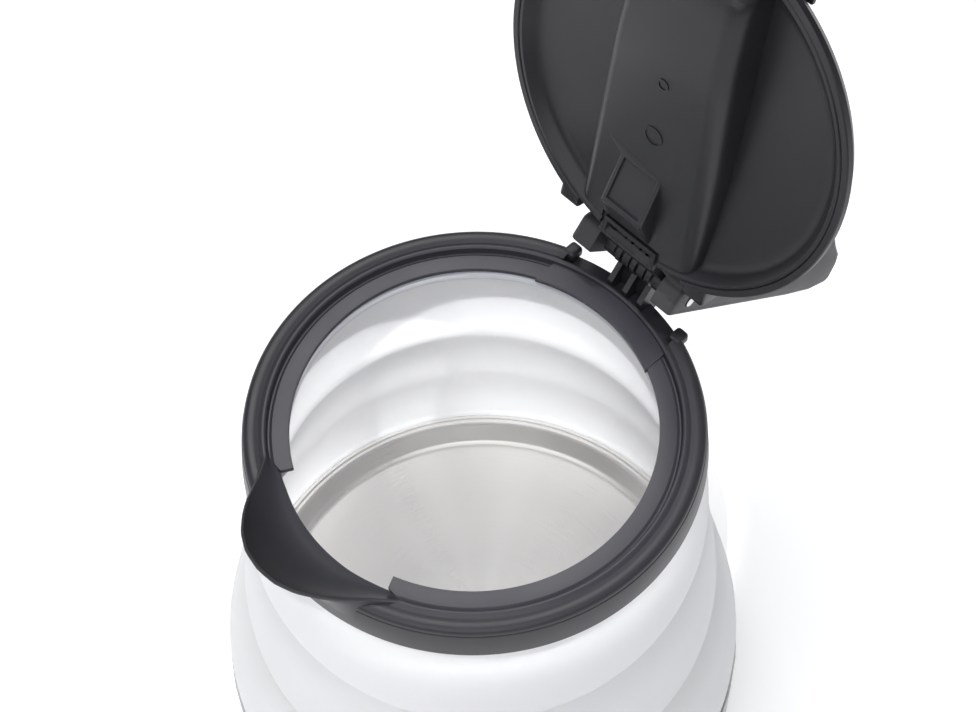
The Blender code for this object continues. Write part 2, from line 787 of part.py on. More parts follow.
def build_switch(made_lever, made_pin, made_block):
    """Rocker lever on its pin, in front of the switch block."""
    pivot_y = -lever_pivot_radius
    pivot = add_pivot("switch_lever_pivot", (0.0, pivot_y, lever_pivot_height))
    half = lever_thickness / 2
    tip = lever_tip_thickness / 2
    outline = [(half, -half), (half, half), (-lever_reach / 3, half), (-lever_reach, tip - lever_droop),
               (-lever_reach, -tip - lever_droop), (-lever_reach / 3, -half)]
    lever = add_object("switch_lever", prism(outline, -lever_width / 2, lever_width / 2, "yz"), made_lever,
                       pivot, smooth=False)
    span = lever_width + cut_overrun
    bore = rod(switch_pin_radius + fit_gap, (-span, 0.0, 0.0), (span, 0.0, 0.0), 12)
    combine(lever, "DIFFERENCE", add_cutter("lever_bore", bore, pivot))
    cheek_in = lever_width / 2 + fit_gap
    cheek_out = cheek_in + switch_cheek
    back = pivot_y + switch_block_setback
    z_low = lever_pivot_height - switch_block_height / 2
    z_high = lever_pivot_height + switch_block_height / 2
    front = pivot_y - switch_pin_radius - switch_cheek
    outline = [(-cheek_out, back + switch_block_depth), (-cheek_out, front), (-cheek_in, front),
               (-cheek_in, back), (cheek_in, back), (cheek_in, front), (cheek_out, front),
               (cheek_out, back + switch_block_depth)]
    body = add_object("switch_block", prism(outline, z_low, z_high, "xy"), made_block, smooth=False)
    hole = rod(switch_pin_radius + fit_gap, (-span, pivot_y, lever_pivot_height),
               (span, pivot_y, lever_pivot_height), 12)
    combine(body, "DIFFERENCE", add_cutter("switch_block_bore", hole))
    pin = rod(switch_pin_radius, (-cheek_out, pivot_y, lever_pivot_height),
              (cheek_out, pivot_y, lever_pivot_height), 12)
    add_object("switch_pin", pin, made_pin)


def build_indicator(made_lens, made_lamp):
    """Light window in the band with its lamp behind it."""
    axis = Vector((math.cos(indicator_turn), math.sin(indicator_turn), 0.0))
    lift = Vector((0.0, 0.0, lever_pivot_height))
    front = base_radius + indicator_proud
    back = front - indicator_length
    add_object("indicator_lens", rod(indicator_radius, axis * back + lift, axis * front + lift), made_lens)
    lamp = rod(lamp_radius, axis * (back - fit_gap - lamp_length) + lift,
               axis * (back - fit_gap) + lift)
    add_object("indicator_lamp", lamp, made_lamp)


# Silicone body

def silicone_outline():
    """Outer profile from the bead at the base to the cuff under the collar."""
    low = flange_top + fit_gap
    top = collar_foot
    height = top - low
    span = bead_radius - collar_radius
    points = [(bead_radius, low), (bead_radius, low + bead_height)]
    starts = [low + bead_height]
    radii = [bead_radius]
    for height_share, radius_share in zip(tier_height_shares[::-1], tier_radius_shares[::-1]):
        starts.append(top - height * height_share)
        radii.append(collar_radius + span * radius_share)
    starts.append(top)
    radii.append(collar_radius - collar_skirt_wall - 2 * fit_gap)
    for index in range(len(starts) - 1):
        foot, foot_radius_here = starts[index], radii[index]
        head, head_radius = starts[index + 1], radii[index + 1]
        tier = head - foot
        lean = head_radius - foot_radius_here
        points.append((foot_radius_here + lean / 4 + tier_crown * 0.6, foot + tier / 4))
        points.append((foot_radius_here + lean / 2 + tier_crown, foot + tier / 2))
        if index < len(starts) - 2:
            points.append((head_radius + tier_crown * 0.8, head - shoulder_height))
            points.append((head_radius - crease_depth, head))
            points.append((head_radius - crease_depth * 0.4, head + shoulder_height / 2))
        else:
            points.append((head_radius + tier_crown, head - shoulder_height))
            points.append((head_radius, head - fit_gap))
    return points


def build_silicone_body(made):
    """White bellows: bead on the base shell, three tiers and a cuff inside the collar."""
    outer = silicone_outline()
    cuff_top = collar_top - cuff_pocket_depth - fit_gap
    cuff_outer = collar_radius - collar_skirt_wall - 2 * fit_gap
    plate_side = plate_rim_radius + fit_gap
    inner = [(radius - silicone_wall, height) for radius, height in outer[3:-1]]
    profile = outer + [(cuff_outer, cuff_top), (cuff_inner_radius, cuff_top),
                       (cuff_inner_radius, collar_foot - cut_overrun / 4)]
    profile += inner[::-1]
    profile += [(plate_side, plate_rim_height + fit_gap), (plate_side, flange_top + fit_gap)]
    return add_object("silicone_body", turned(profile, bellows_segments), made)


# Collar

def spout_section(height, reach, corner, half_width, back):
    """A rounded outline of the spout at one height, closed behind at back."""
    points = []
    for index in range(spout_points + 1):
        share = 2 * index / spout_points - 1
        bulge = 1 - abs(share) ** spout_curve_power
        points.append((-(corner + (reach - corner) * bulge), half_width * share, height))
    points.append((-back, half_width, height))
    points.append((-back, -half_width, height))
    return points


def spout_outside():
    """The spout's outer form, from inside the collar's skirt up to its rim."""
    low = collar_top - cuff_pocket_depth - clamp_height * 0.6
    high = collar_top + spout_rise
    sections = []
    for share in (0.0, 0.3, 0.6, 1.0):
        grow = 1 - (1 - share) ** 1.5
        reach = spout_root_reach + (spout_reach - spout_root_reach) * grow
        half_width = spout_root_half_width + (spout_half_width - spout_root_half_width) * grow
        on_ring = math.sqrt(spout_root_reach ** 2 - half_width ** 2)
        corner = on_ring + (spout_corner + spout_wall - on_ring) * share
        sections.append(spout_section(low + (high - low) * share, reach, corner, half_width, spout_corner))
    return stacked(sections)


def spout_inside():
    """The trough that pouring water runs through."""
    half_width = spout_half_width - spout_wall
    floor = collar_top - spout_floor_depth
    high = collar_top + spout_rise
    arc_corner = math.sqrt(spout_lip_radius ** 2 - half_width ** 2)
    back = mouth_radius - cut_overrun * 2
    below = spout_section(collar_foot - cut_overrun, spout_lip_radius, arc_corner, half_width, back)
    sections = [below, spout_section(floor, spout_lip_radius, arc_corner, half_width, back)]
    start = spout_lip_radius + spout_wall
    for share in (0.04, 0.3, 0.6, 1.0):
        reach = start + (spout_reach - spout_wall - start) * share ** 0.8
        corner = arc_corner + (spout_corner - arc_corner) * share
        height = floor + (high - floor) * share ** 1.2
        sections.append(spout_section(height, reach, corner, half_width, back))
    above = high + cut_overrun
    sections.append(spout_section(above, spout_reach - spout_wall, spout_corner, half_width, back))
    return stacked(sections)


def collar_profile():
    """Cross-section of the ring before the cuff's pocket is cut: ledge, groove, shoulder and skirt."""
    skin = ledge_top - ledge_skin
    solid_inner = cuff_inner_radius + loose_gap
    wall_top = ledge_radius + ledge_wall_draft
    groove_start = wall_top + ridge_width
    band_start = groove_start + groove_width
    return [
        (mouth_radius, skin),
        (mouth_radius, ledge_top),
        (ledge_radius, ledge_top),
        (wall_top, collar_top),
        (wall_top + ridge_width / 2, collar_top + ridge_height),
        (groove_start, collar_top),
        (groove_start + groove_width / 2, collar_top - groove_depth),
        (band_start, collar_top - groove_depth / 4),
        ((band_start + collar_top_radius) / 2, collar_top),
        (collar_top_radius - groove_depth, collar_top - groove_depth),
        (collar_top_radius, collar_top - shoulder_drop),
        (collar_radius, collar_foot),
        (solid_inner, collar_foot),
        (solid_inner, skin),
    ]


def rib_outline():
    """Side view of a hinge rib, relative to the pin: foot, eye and the nose that stops the handle."""
    along = Vector((math.cos(handle_droop), -math.sin(handle_droop)))
    normal = Vector((math.sin(handle_droop), math.cos(handle_droop)))
    under = normal * -(handle_underside + fit_gap)
    nose_near = along * (web_start + fit_gap) + under
    nose_far = along * (web_start + web_thickness) + under
    floor = -(hinge_rise + seat_depth + fit_gap)
    foot_inner = seat_inner_radius + groove_width - hinge_radius
    points = [(foot_inner, floor), (-rib_eye_radius * rib_waist_share, -rib_waist_drop)]
    for index in range(9):
        angle = math.radians(245) - math.radians(275) * index / 8
        points.append((rib_eye_radius * math.cos(angle), rib_eye_radius * math.sin(angle)))
    points += [(nose_near.x, nose_near.y), (nose_far.x, nose_far.y)]
    points.append((nose_far.x - rib_thickness / 2, nose_far.y - rib_thickness))
    skirt_middle = -(hinge_rise + collar_height * 0.7)
    points.append((collar_radius - hinge_radius - collar_skirt_wall / 2, skirt_middle))
    points.append((collar_radius - hinge_radius - collar_skirt_wall / 2, floor))
    return points


def build_collar(made, slide):
    """Moulded ring with spout, ledge, hinge seat and ribs."""
    low_by = Vector((0.0, 0.0, -collar_foot))
    collar = add_object("collar", turned(collar_profile()), made, slide)
    spout = spout_outside()
    trough = spout_inside()
    collar.data.transform(Matrix.Translation(low_by))
    for shape in (spout, trough):
        bmesh.ops.translate(shape, verts=shape.verts, vec=low_by)
    combine(collar, "UNION", add_cutter("spout_form", spout, slide))

    seat_top = collar_height + cut_overrun
    seat_low = collar_height - seat_depth
    outer = collar_radius + cut_overrun
    seat_profile = [(outer, seat_top), (outer, seat_low - seat_slope_drop),
                    (seat_inner_radius + seat_depth / 3, seat_low), (seat_inner_radius, seat_top)]
    seat = add_cutter("hinge_seat", turned(seat_profile), slide)
    sector = block(0.0, outer, -seat_half_width, seat_half_width, 0.0, seat_top + cut_overrun)
    combine(seat, "INTERSECT", add_cutter("seat_sector", sector, slide))
    combine(collar, "DIFFERENCE", seat)

    ribs = []
    for step in (-1, 0, 1):
        points = [(x + hinge_radius, z + hinge_rise + collar_height) for x, z in rib_outline()]
        middle = step * rib_spacing
        ribs.append(prism(points, middle - rib_thickness / 2, middle + rib_thickness / 2))
    combine(collar, "UNION", add_cutter("hinge_ribs", merged(ribs), slide))
    nubs = []
    nub_middle = seat_half_width + nub_length / 2
    nub_x = math.sqrt(collar_top_radius ** 2 - nub_middle ** 2) - nub_radius
    for side in (-1, 1):
        start = side * (seat_half_width - fit_gap)
        end = side * (seat_half_width + nub_length)
        nubs.append(rod(nub_radius, (nub_x, start, collar_height), (nub_x, end, collar_height), 10))
    combine(collar, "UNION", add_cutter("seat_nubs", merged(nubs), slide))

    combine(collar, "DIFFERENCE", add_cutter("spout_trough", trough, slide))
    pocket_top = collar_height - cuff_pocket_depth
    skirt_inner = collar_radius - collar_skirt_wall
    pocket = turned([(cuff_inner_radius - fit_gap, pocket_top), (cuff_inner_radius - fit_gap, -cut_overrun),
                     (skirt_inner, -cut_overrun), (skirt_inner, 0.0), (skirt_inner - fit_gap, pocket_top)])
    combine(collar, "DIFFERENCE", add_cutter("cuff_pocket", pocket, slide))
    reach = handle_half_width
    bore_height = hinge_rise + collar_height
    bore = rod(hinge_pin_radius + fit_gap, (hinge_radius, -reach, bore_height),
               (hinge_radius, reach, bore_height))
    combine(collar, "DIFFERENCE", add_cutter("rib_bores", bore, slide))
    return collar


def build_clamp_ring(made, slide):
    """Inner lip that grips the silicone cuff, open at the spout."""
    top = collar_height - ledge_depth - ledge_skin - fit_gap
    low = top - clamp_height
    outer = cuff_inner_radius - 2 * fit_gap
    inner = mouth_radius + clamp_setback
    profile = [(outer, top), (inner, top), (inner, low + clamp_lead), (inner + clamp_flare, low), (outer, low)]
    ring = add_object("clamp_ring", turned(profile), made, slide)
    half_width = spout_half_width - spout_wall + fit_gap + spout_wall
    opening = block(-collar_radius - cut_overrun, 0.0, -half_width, half_width, low - cut_overrun,
                    top + cut_overrun)
    combine(ring, "DIFFERENCE", add_cutter("clamp_opening", opening, slide))
    return ring


def build_hinge_pin(made, slide):
    """Steel pin shared by lid and handle."""
    height = hinge_rise + collar_height
    end = handle_half_width + fit_gap
    pin = rod(hinge_pin_radius, (hinge_radius, -end, height), (hinge_radius, end, height))
    return add_object("hinge_pin", pin, made, slide)


# Lid, modelled closed and relative to the hinge; its pivot opens it

def lid_place(bm):
    """Move a shape made in the closed kettle to the lid pivot's own frame."""
    bmesh.ops.translate(bm, verts=bm.verts, vec=(-hinge_radius, 0.0, -hinge_height))
    return bm


def lid_plug(radius):
    """A round plug about the kettle's axis, taller than the lid."""
    return turned([(0.0, collar_foot), (radius, collar_foot), (radius, lid_top * 2), (0.0, lid_top * 2)])


def tray_wedge(outset, low, high):
    """The folded handle's space in the lid, as a wedge in plan with its walls moved out."""
    near = hinge_radius + cut_overrun
    far = hinge_radius - handle_length - tray_end_gap - outset
    wide = handle_side(-cut_overrun, -outset - loose_gap)
    narrow = handle_side(handle_length, -outset - loose_gap)
    return prism([(far, -narrow), (near, -wide), (near, wide), (far, narrow)], low, high, "xy")


def tray_floor(outset):
    """Points of the tray's floor in side view, front to rear, moved down by outset."""
    top = handle_thickness - handle_underside
    drop = loose_gap + outset
    places = ((handle_length + tray_end_gap + cut_overrun, top), (handle_crest() - handle_wall, top),
              (web_start, handle_top(web_start)))
    return [(hinge_radius - along, hinge_height - depth - drop) for along, depth in places]


def build_lid_cover(made, pivot):
    """Outer lid: domed skin, rim, rear shoulders, nose and the handle's opening."""
    inner = lid_radius - lid_wall
    inner_height = lid_height - lid_skin
    profile = [(lid_radius, lid_foot)]
    profile += [(lid_radius * across, lid_foot + lid_height * up) for across, up in lid_dome_shares]
    profile += [(inner * across, lid_foot + inner_height * up) for across, up in reversed(lid_dome_shares)]
    profile.append((inner, lid_foot))
    cover = add_object("lid_cover", lid_place(turned(profile)), made, pivot)
    half = handle_half_width + loose_gap + fit_gap
    low = collar_top + loose_gap
    rear_reach = lid_radius - fit_gap
    shoulders = merged([
        block(lid_radius * 0.62, rear_reach, side_low, side_high, low, low + shoulder_thickness)
        for side_low, side_high in ((-shoulder_half_width, -half), (half, shoulder_half_width))])
    shoulder = add_cutter("lid_shoulders", lid_place(shoulders), pivot)
    hollow = lid_place(lid_plug(inner + lid_wall / 2))
    combine(shoulder, "DIFFERENCE", add_cutter("shoulder_hollow", hollow, pivot))
    combine(cover, "UNION", shoulder)

    nose_low = collar_top + spout_rise + fit_gap
    reach = spout_reach + fit_gap
    nose = stacked([
        spout_section(height, reach, spout_corner + spout_wall, spout_half_width, lid_radius * 0.8)
        for height in (nose_low, nose_low + nose_thickness)])
    combine(cover, "UNION", add_cutter("lid_nose", lid_place(nose), pivot))

    lip_low = liner_face + liner_skin + fit_gap
    lip_form = lid_place(tray_wedge(tray_wall, lip_low, lid_foot + inner_height))
    lips = add_cutter("opening_lips", lip_form, pivot)
    combine(lips, "INTERSECT", add_cutter("lips_limit", lid_place(lid_plug(inner * 0.94)), pivot))
    combine(cover, "UNION", lips)
    opening = tray_wedge(fit_gap, collar_foot, lid_top * 2)
    combine(cover, "DIFFERENCE", add_cutter("handle_opening", lid_place(opening), pivot))
    return cover


def bracket_line():
    """The hinge bracket's slope as its foot, its head and its unit normal, relative to the hinge."""
    foot = Vector((lid_radius - lid_wall - hinge_radius, lid_foot + bracket_thickness / 2 - hinge_height))
    head = Vector((0.0, 0.0))
    slope = (head - foot).normalized()
    return foot, head, slope, Vector((-slope.y, slope.x))


def build_lid_liner(made, pivot):
    """Inner lid: rim wall, dish, the handle's tray and the hinge bracket."""
    outer = lid_radius - lid_wall - fit_gap
    foot = lid_foot + fit_gap
    face = liner_face
    back = face + liner_skin
    profile = [
        (0.0, face),
        (outer - liner_wall * 2.4, face),
        (outer - liner_wall, face - liner_wall),
        (outer - liner_wall, foot),
        (outer, foot),
        (outer, lid_foot + liner_rim_height),
        (outer - liner_wall * 1.9, back),
        (0.0, back),
    ]
    liner = add_object("lid_liner", lid_place(turned(profile)), made, pivot)
    tray_top = face + liner_skin / 2
    deep = hinge_height - handle_thickness
    tray = add_cutter("tray_form", lid_place(tray_wedge(tray_wall, deep, tray_top)), pivot)
    floor = tray_floor(tray_wall)
    above = lid_top * 2
    under = prism([(floor[0][0], above)] + floor[:-1]
                  + [(mouth_radius - liner_wall, foot + fit_gap), (outer, foot + fit_gap), (outer, above)],
                  -shoulder_half_width, shoulder_half_width)
    combine(tray, "INTERSECT", add_cutter("tray_underside", lid_place(under), pivot))
    keep = outer - liner_wall / 2
    limit = turned([(0.0, collar_foot), (keep, collar_foot), (keep, lid_foot + liner_rim_height),
                    (outer - liner_wall * 2.3, back), (0.0, back)])
    combine(tray, "INTERSECT", add_cutter("tray_limit", lid_place(limit), pivot))
    combine(liner, "UNION", tray)
    pocket = add_cutter("tray_pocket", lid_place(tray_wedge(0.0, deep, above)), pivot)
    floor = tray_floor(0.0)
    beyond = hinge_radius + 2 * cut_overrun
    space = prism([(floor[0][0], above * 2)] + floor + [(beyond, floor[-1][1]), (beyond, above * 2)],
                  -shoulder_half_width, shoulder_half_width)
    combine(pocket, "INTERSECT", add_cutter("pocket_space", lid_place(space), pivot))
    combine(liner, "DIFFERENCE", pocket)

    start, end, slope, normal = bracket_line()
    near = start + normal * bracket_thickness / 2
    far = start - normal * bracket_thickness / 2
    reach = slope * (end - start).length
    plate_half = bracket_half_width - fit_gap
    plate = prism([tuple(near), tuple(far), tuple(far + reach), tuple(near + reach)],
                  -plate_half, plate_half)
    combine(liner, "UNION", add_cutter("bracket_plate", plate, pivot))
    knuckles = []
    inner_width = rib_spacing - rib_thickness - 2 * loose_gap
    for side in (-1, 1):
        middle = side * rib_spacing / 2
        knuckles.append(rod(knuckle_radius, (0.0, middle - inner_width / 2, 0.0),
                            (0.0, middle + inner_width / 2, 0.0)))
        inner_side = side * (rib_spacing + rib_thickness / 2 + loose_gap)
        knuckles.append(rod(knuckle_radius, (0.0, inner_side, 0.0), (0.0, side * bracket_half_width, 0.0)))
    combine(liner, "UNION", add_cutter("knuckles", merged(knuckles), pivot))
    relief = merged([rod(rib_eye_radius + loose_gap, (0.0, place - rib_thickness / 2 - fit_gap, 0.0),
                         (0.0, place + rib_thickness / 2 + fit_gap, 0.0))
                     for place in (-rib_spacing, 0.0, rib_spacing)])
    combine(liner, "DIFFERENCE", add_cutter("rib_relief", relief, pivot))
    slot_rear = outer - liner_wall / 2
    slot = block(slot_rear - slot_height, slot_rear, -slot_half_width, slot_half_width, foot - cut_overrun,
                 foot + cut_overrun)
    combine(liner, "DIFFERENCE", add_cutter("bracket_slot", lid_place(slot), pivot))
    bore = rod(hinge_pin_radius + fit_gap, (0.0, -handle_half_width, 0.0), (0.0, handle_half_width, 0.0))
    combine(liner, "DIFFERENCE", add_cutter("knuckle_bore", bore, pivot))
    return liner


# Handle, modelled along +X from the hinge, underside down; its pivot lets it droop

def handle_top(along):
    """Height of the handle's upper side above the pin, rising from the heel to the crest."""
    heel_top = handle_heel_thickness - handle_underside
    top = handle_thickness - handle_underside
    return heel_top + (top - heel_top) * (along + handle_heel) / (handle_crest() + handle_heel)


def handle_crest():
    """Distance from the pin to the handle's thickest place."""
    return handle_length * 0.83


def handle_outline(inset):
    """Side view of the handle, relative to the pin, inset from its faces."""
    top = handle_thickness - handle_underside
    heel = handle_heel
    tip = handle_length
    base = -handle_underside
    return [
        (-heel + inset, base + inset),
        (-heel + inset, handle_top(-heel) * 0.7),
        (-heel * 0.7 + inset, handle_top(-heel * 0.7) - inset),
        (handle_crest(), top - inset),
        (tip * 0.885, top * 0.80 - inset),
        (tip * 0.954 - inset / 2, top * 0.58 - inset),
        (tip * 0.981 - inset, top * 0.375),
        (tip - inset, 0.0),
        (tip * 0.984 - inset, base * 0.42 + inset / 2),
        (tip * 0.89, base * 0.86 + inset),
        (tip * 0.73, base + inset),
    ]


def handle_side(along, inset):
    """Half width of the handle at a distance from the pin."""
    return handle_half_width - inset - (handle_half_width - handle_tip_half_width) * along / handle_length


def tapered(outline, inset):
    """Extrude a side view of the handle between its two tapering sides."""
    bm = prism(outline, -1.0, 1.0)
    for vert in bm.verts:
        vert.co.y *= handle_side(vert.co.x, inset)
    return bm


def build_handle_shell(made, pivot):
    """Hollow arm, open underneath, whose two cheeks ride on the hinge pin."""
    shell = add_object("handle_shell", tapered(handle_outline(0.0), 0.0), made, pivot)
    soften = shell.modifiers.new("edges", "BEVEL")
    soften.width = handle_wall * 0.6
    soften.segments = 2
    soften.limit_method = "ANGLE"
    soften.angle_limit = math.radians(50)
    inner = handle_outline(handle_wall)[3:9]
    hollow_start = web_start + web_thickness
    low = -handle_underside - cut_overrun
    outline = [(hollow_start, low), (hollow_start, handle_top(hollow_start) - handle_wall)] + inner
    outline.append((handle_length * 0.90, low))
    combine(shell, "DIFFERENCE", add_cutter("handle_hollow", tapered(outline, handle_wall), pivot))
    fork = block(-handle_heel - cut_overrun, web_start, -cheek_inner, cheek_inner, low, handle_thickness)
    combine(shell, "DIFFERENCE", add_cutter("handle_fork", fork, pivot))
    bosses = []
    for share in handle_screw_places_shares:
        x = handle_length * share
        boss_low = -handle_underside + handle_cover_thickness + 2 * fit_gap
        bosses.append(rod(handle_boss_radius, (x, 0.0, boss_low),
                          (x, 0.0, handle_top(x) - handle_wall / 2)))
    combine(shell, "UNION", add_cutter("handle_bosses", merged(bosses), pivot))
    bores = [rod(handle_screw_radius + fit_gap, (handle_length * share, 0.0, -handle_underside),
                 (handle_length * share, 0.0, handle_screw_length))
             for share in handle_screw_places_shares]
    combine(shell, "DIFFERENCE", add_cutter("handle_bores", merged(bores), pivot))
    side = handle_half_width + cut_overrun
    bore = rod(hinge_pin_radius + fit_gap, (0.0, -side, 0.0), (0.0, side, 0.0))
    combine(shell, "DIFFERENCE", add_cutter("cheek_bores", bore, pivot))
    return shell


def build_handle_cover(made, pivot):
    """Plate that closes the handle's underside, between its side walls."""
    start = web_start + web_thickness + fit_gap
    end = handle_length - handle_cover_inset
    low = -handle_underside + fit_gap
    high = low + handle_cover_thickness
    plate = tapered([(start, low), (end, low), (end, high), (start, high)], handle_wall + fit_gap)
    cover = add_object("handle_cover", plate, made, pivot, smooth=False)
    holes = [rod(handle_screw_radius + fit_gap, (handle_length * share, 0.0, low - cut_overrun),
                 (handle_length * share, 0.0, low + cut_overrun))
             for share in handle_screw_places_shares]
    combine(cover, "DIFFERENCE", add_cutter("handle_cover_holes", merged(holes), pivot))
    sinks = [rod(handle_screw_head_radius + fit_gap, (handle_length * share, 0.0, low - cut_overrun),
                 (handle_length * share, 0.0, low + handle_screw_head_height))
             for share in handle_screw_places_shares]
    combine(cover, "DIFFERENCE", add_cutter("handle_cover_sinks", merged(sinks), pivot))
    return cover


def build_handle_screws(made, pivot):
    """Two screws through the cover into the shell's bosses."""
    low = -handle_underside + fit_gap
    shapes = [screw(handle_screw_radius, handle_screw_head_radius, handle_screw_head_height,
                    handle_screw_length, Vector((handle_length * share, 0.0, low - fit_gap)))
              for share in handle_screw_places_shares]
    return add_each("handle_screw", shapes, made, pivot)


def main():
    """Build every piece of the kettle."""
    clear_scene()
    black = make_material("black_plastic", (0.030, 0.030, 0.033), 0.42)
    dark = make_material("dark_plastic", (0.045, 0.045, 0.050), 0.50)
    grip = make_material("handle_plastic", (0.085, 0.085, 0.088), 0.48)
    white = make_material("white_silicone", (0.86, 0.86, 0.87), 0.55)
    cuff_white = make_material("cuff_plastic", (0.52, 0.52, 0.56), 0.45)
    grey_rubber = make_material("grey_rubber", (0.16, 0.16, 0.16), 0.80)
    band_steel = make_material("band_steel", (0.62, 0.61, 0.60), 0.30, 1.0)
    plate_steel = make_material("plate_steel", (0.66, 0.64, 0.62), 0.28, 1.0)
    pin_steel = make_material("pin_steel", (0.75, 0.74, 0.72), 0.18, 1.0)
    aluminium = make_material("cast_aluminium", (0.58, 0.58, 0.60), 0.45, 1.0)
    sheath = make_material("element_sheath", (0.35, 0.33, 0.31), 0.50, 1.0)
    brass = make_material("brass", (0.72, 0.55, 0.25), 0.30, 1.0)
    phenolic = make_material("phenolic", (0.10, 0.07, 0.05), 0.60)
    ceramic = make_material("ceramic", (0.80, 0.78, 0.74), 0.50)
    wire = make_material("wire_insulation", (0.30, 0.09, 0.05), 0.55)
    amber = make_material("amber_lens", (0.80, 0.30, 0.05), 0.15)
    lamp = make_material("lamp_glass", (0.90, 0.80, 0.70), 0.10)

    build_base_shell(black)
    build_base_band(band_steel)
    build_base_cover(dark)
    build_feet(grey_rubber)
    build_base_screws(pin_steel)
    build_heating_plate(plate_steel)
    build_plate_seal(grey_rubber)
    build_plate_nuts(pin_steel)
    build_heat_spreader(aluminium)
    build_heating_element(sheath)
    build_element_terminals(brass)
    build_thermostat(phenolic, pin_steel)
    build_thermal_fuse(ceramic)
    build_inlet(dark, brass)
    build_lead_wires(wire)
    build_switch(black, pin_steel, phenolic)
    build_indicator(amber, lamp)
    build_silicone_body(white)

    slide = add_pivot("collar_slide", (0.0, 0.0, collar_foot))
    build_collar(black, slide)
    build_clamp_ring(cuff_white, slide)
    build_hinge_pin(pin_steel, slide)
    hinge_place = (hinge_radius, 0.0, hinge_rise + collar_height)
    lid_pivot = add_pivot("lid_pivot", hinge_place, slide, lid_open_angle)
    build_lid_cover(black, lid_pivot)
    build_lid_liner(dark, lid_pivot)
    handle_pivot = add_pivot("handle_pivot", hinge_place, slide, handle_droop)
    build_handle_shell(grip, handle_pivot)
    build_handle_cover(grip, handle_pivot)
    build_handle_screws(pin_steel, handle_pivot)


main()
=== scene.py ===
# %% [markdown]
# # A folding kettle, dressed for a studio photograph
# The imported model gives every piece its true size, place and joint. This lesson adds what the
# camera sees: soft silicone, moulded black plastic with its grain and rounded edges, a turned
# steel plate, and the light of a white studio. Each step says what the piece is, how it could
# be made, and why it is made in this way.

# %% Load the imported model
import json
import math

import bpy
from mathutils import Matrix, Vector


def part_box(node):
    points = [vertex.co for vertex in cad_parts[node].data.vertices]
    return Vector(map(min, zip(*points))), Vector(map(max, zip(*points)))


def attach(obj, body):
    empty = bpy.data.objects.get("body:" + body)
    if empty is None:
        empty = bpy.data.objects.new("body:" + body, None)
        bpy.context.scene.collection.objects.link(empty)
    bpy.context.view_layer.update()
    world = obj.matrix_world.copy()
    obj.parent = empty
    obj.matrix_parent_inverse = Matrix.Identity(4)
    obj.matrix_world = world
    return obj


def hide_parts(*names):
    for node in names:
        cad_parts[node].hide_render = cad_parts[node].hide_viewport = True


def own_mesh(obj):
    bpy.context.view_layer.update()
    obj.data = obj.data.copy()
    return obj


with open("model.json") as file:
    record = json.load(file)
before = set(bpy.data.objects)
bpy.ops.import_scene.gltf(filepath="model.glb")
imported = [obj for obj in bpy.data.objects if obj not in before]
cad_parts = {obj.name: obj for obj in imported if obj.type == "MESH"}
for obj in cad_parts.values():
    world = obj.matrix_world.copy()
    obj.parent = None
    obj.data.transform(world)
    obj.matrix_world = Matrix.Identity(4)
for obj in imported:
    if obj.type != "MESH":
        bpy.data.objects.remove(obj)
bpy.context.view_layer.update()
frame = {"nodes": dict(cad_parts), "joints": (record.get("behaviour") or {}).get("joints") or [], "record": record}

# %% [markdown]
# ## Camera
# A photographer stood close to the kettle and looked steeply down into it. The place, the turn
# and the focal length below were worked out from the round rims, which a camera sees as
# ellipses. The camera comes first, so that every later look is through the same lens.

# %% Place the camera
bpy.ops.object.camera_add(location=(-0.19159, -0.21287, 0.64532),
                          rotation=(math.radians(31.646), math.radians(0.987), math.radians(-44.4)))
camera = bpy.context.object
camera.name = "studio_camera"
camera.data.lens = 83.324
camera.data.sensor_width = 36.0
camera.data.clip_end = 20.0
bpy.context.scene.camera = camera
print("camera looks from", [round(value, 3) for value in camera.location])

# %% [markdown]
# ## Sizes
# A dressed piece has to sit on the model that carries it, so the hinge and the lid's swing are
# read from the model's own joints. Two levels are written once, in metres: the collar's rim, from
# which all the collar's sections are measured, and the foot of the closed lid. The lid is drawn
# closed and then swung about the hinge, because its shape is simple in that straight position.

# %% Name the sizes
joints = {joint["name"]: joint for joint in frame["joints"]}
hinge = Vector(joints["lid_hinge"]["pos_m"])
lid_turn = math.radians(joints["lid_hinge"]["range_deg"][1])
collar_top, lid_foot = 0.1500, 0.1491
print("hinge pin at", tuple(hinge))


def above_rim(points):
    """Millimetres from the axis and above the collar's rim, as (radius, height) in metres."""
    return [(radius / 1000, collar_top + rise / 1000) for radius, rise in points]


# %% [markdown]
# ## Modelling helpers
# An operator acts on everything that is selected. The first helper clears the selection, so
# that a later step can't change the kettle's model by accident. `finish_mesh` merges doubles
# and turns all faces outwards.

# %% Selection and mesh helpers
def select_only(*pieces):
    """Leave just these pieces selected, the last one active."""
    bpy.ops.object.select_all(action="DESELECT")
    for piece in pieces:
        piece.select_set(True)
        bpy.context.view_layer.objects.active = piece


def edit_all(piece):
    """Open a piece in edit mode with all its vertices selected."""
    select_only(piece)
    bpy.ops.object.mode_set(mode="EDIT")
    bpy.ops.mesh.select_mode(type="VERT")
    bpy.ops.mesh.select_all(action="SELECT")


def leave_edit():
    """Go back to object mode, which writes the edit into the mesh."""
    bpy.ops.object.mode_set(mode="OBJECT")


def finish_mesh(piece, smooth=32.0):
    """Merge doubles, face outwards and shade by angle."""
    edit_all(piece)
    bpy.ops.mesh.remove_doubles(threshold=0.000002)
    bpy.ops.mesh.normals_make_consistent(inside=False)
    leave_edit()
    bpy.ops.object.shade_smooth_by_angle(angle=math.radians(smooth))
    return piece


def settle(piece):
    """Bake a piece's place into its mesh, as the kettle's own nodes have it."""
    select_only(piece)
    bpy.ops.object.transform_apply(location=True, rotation=True, scale=True)
    return piece


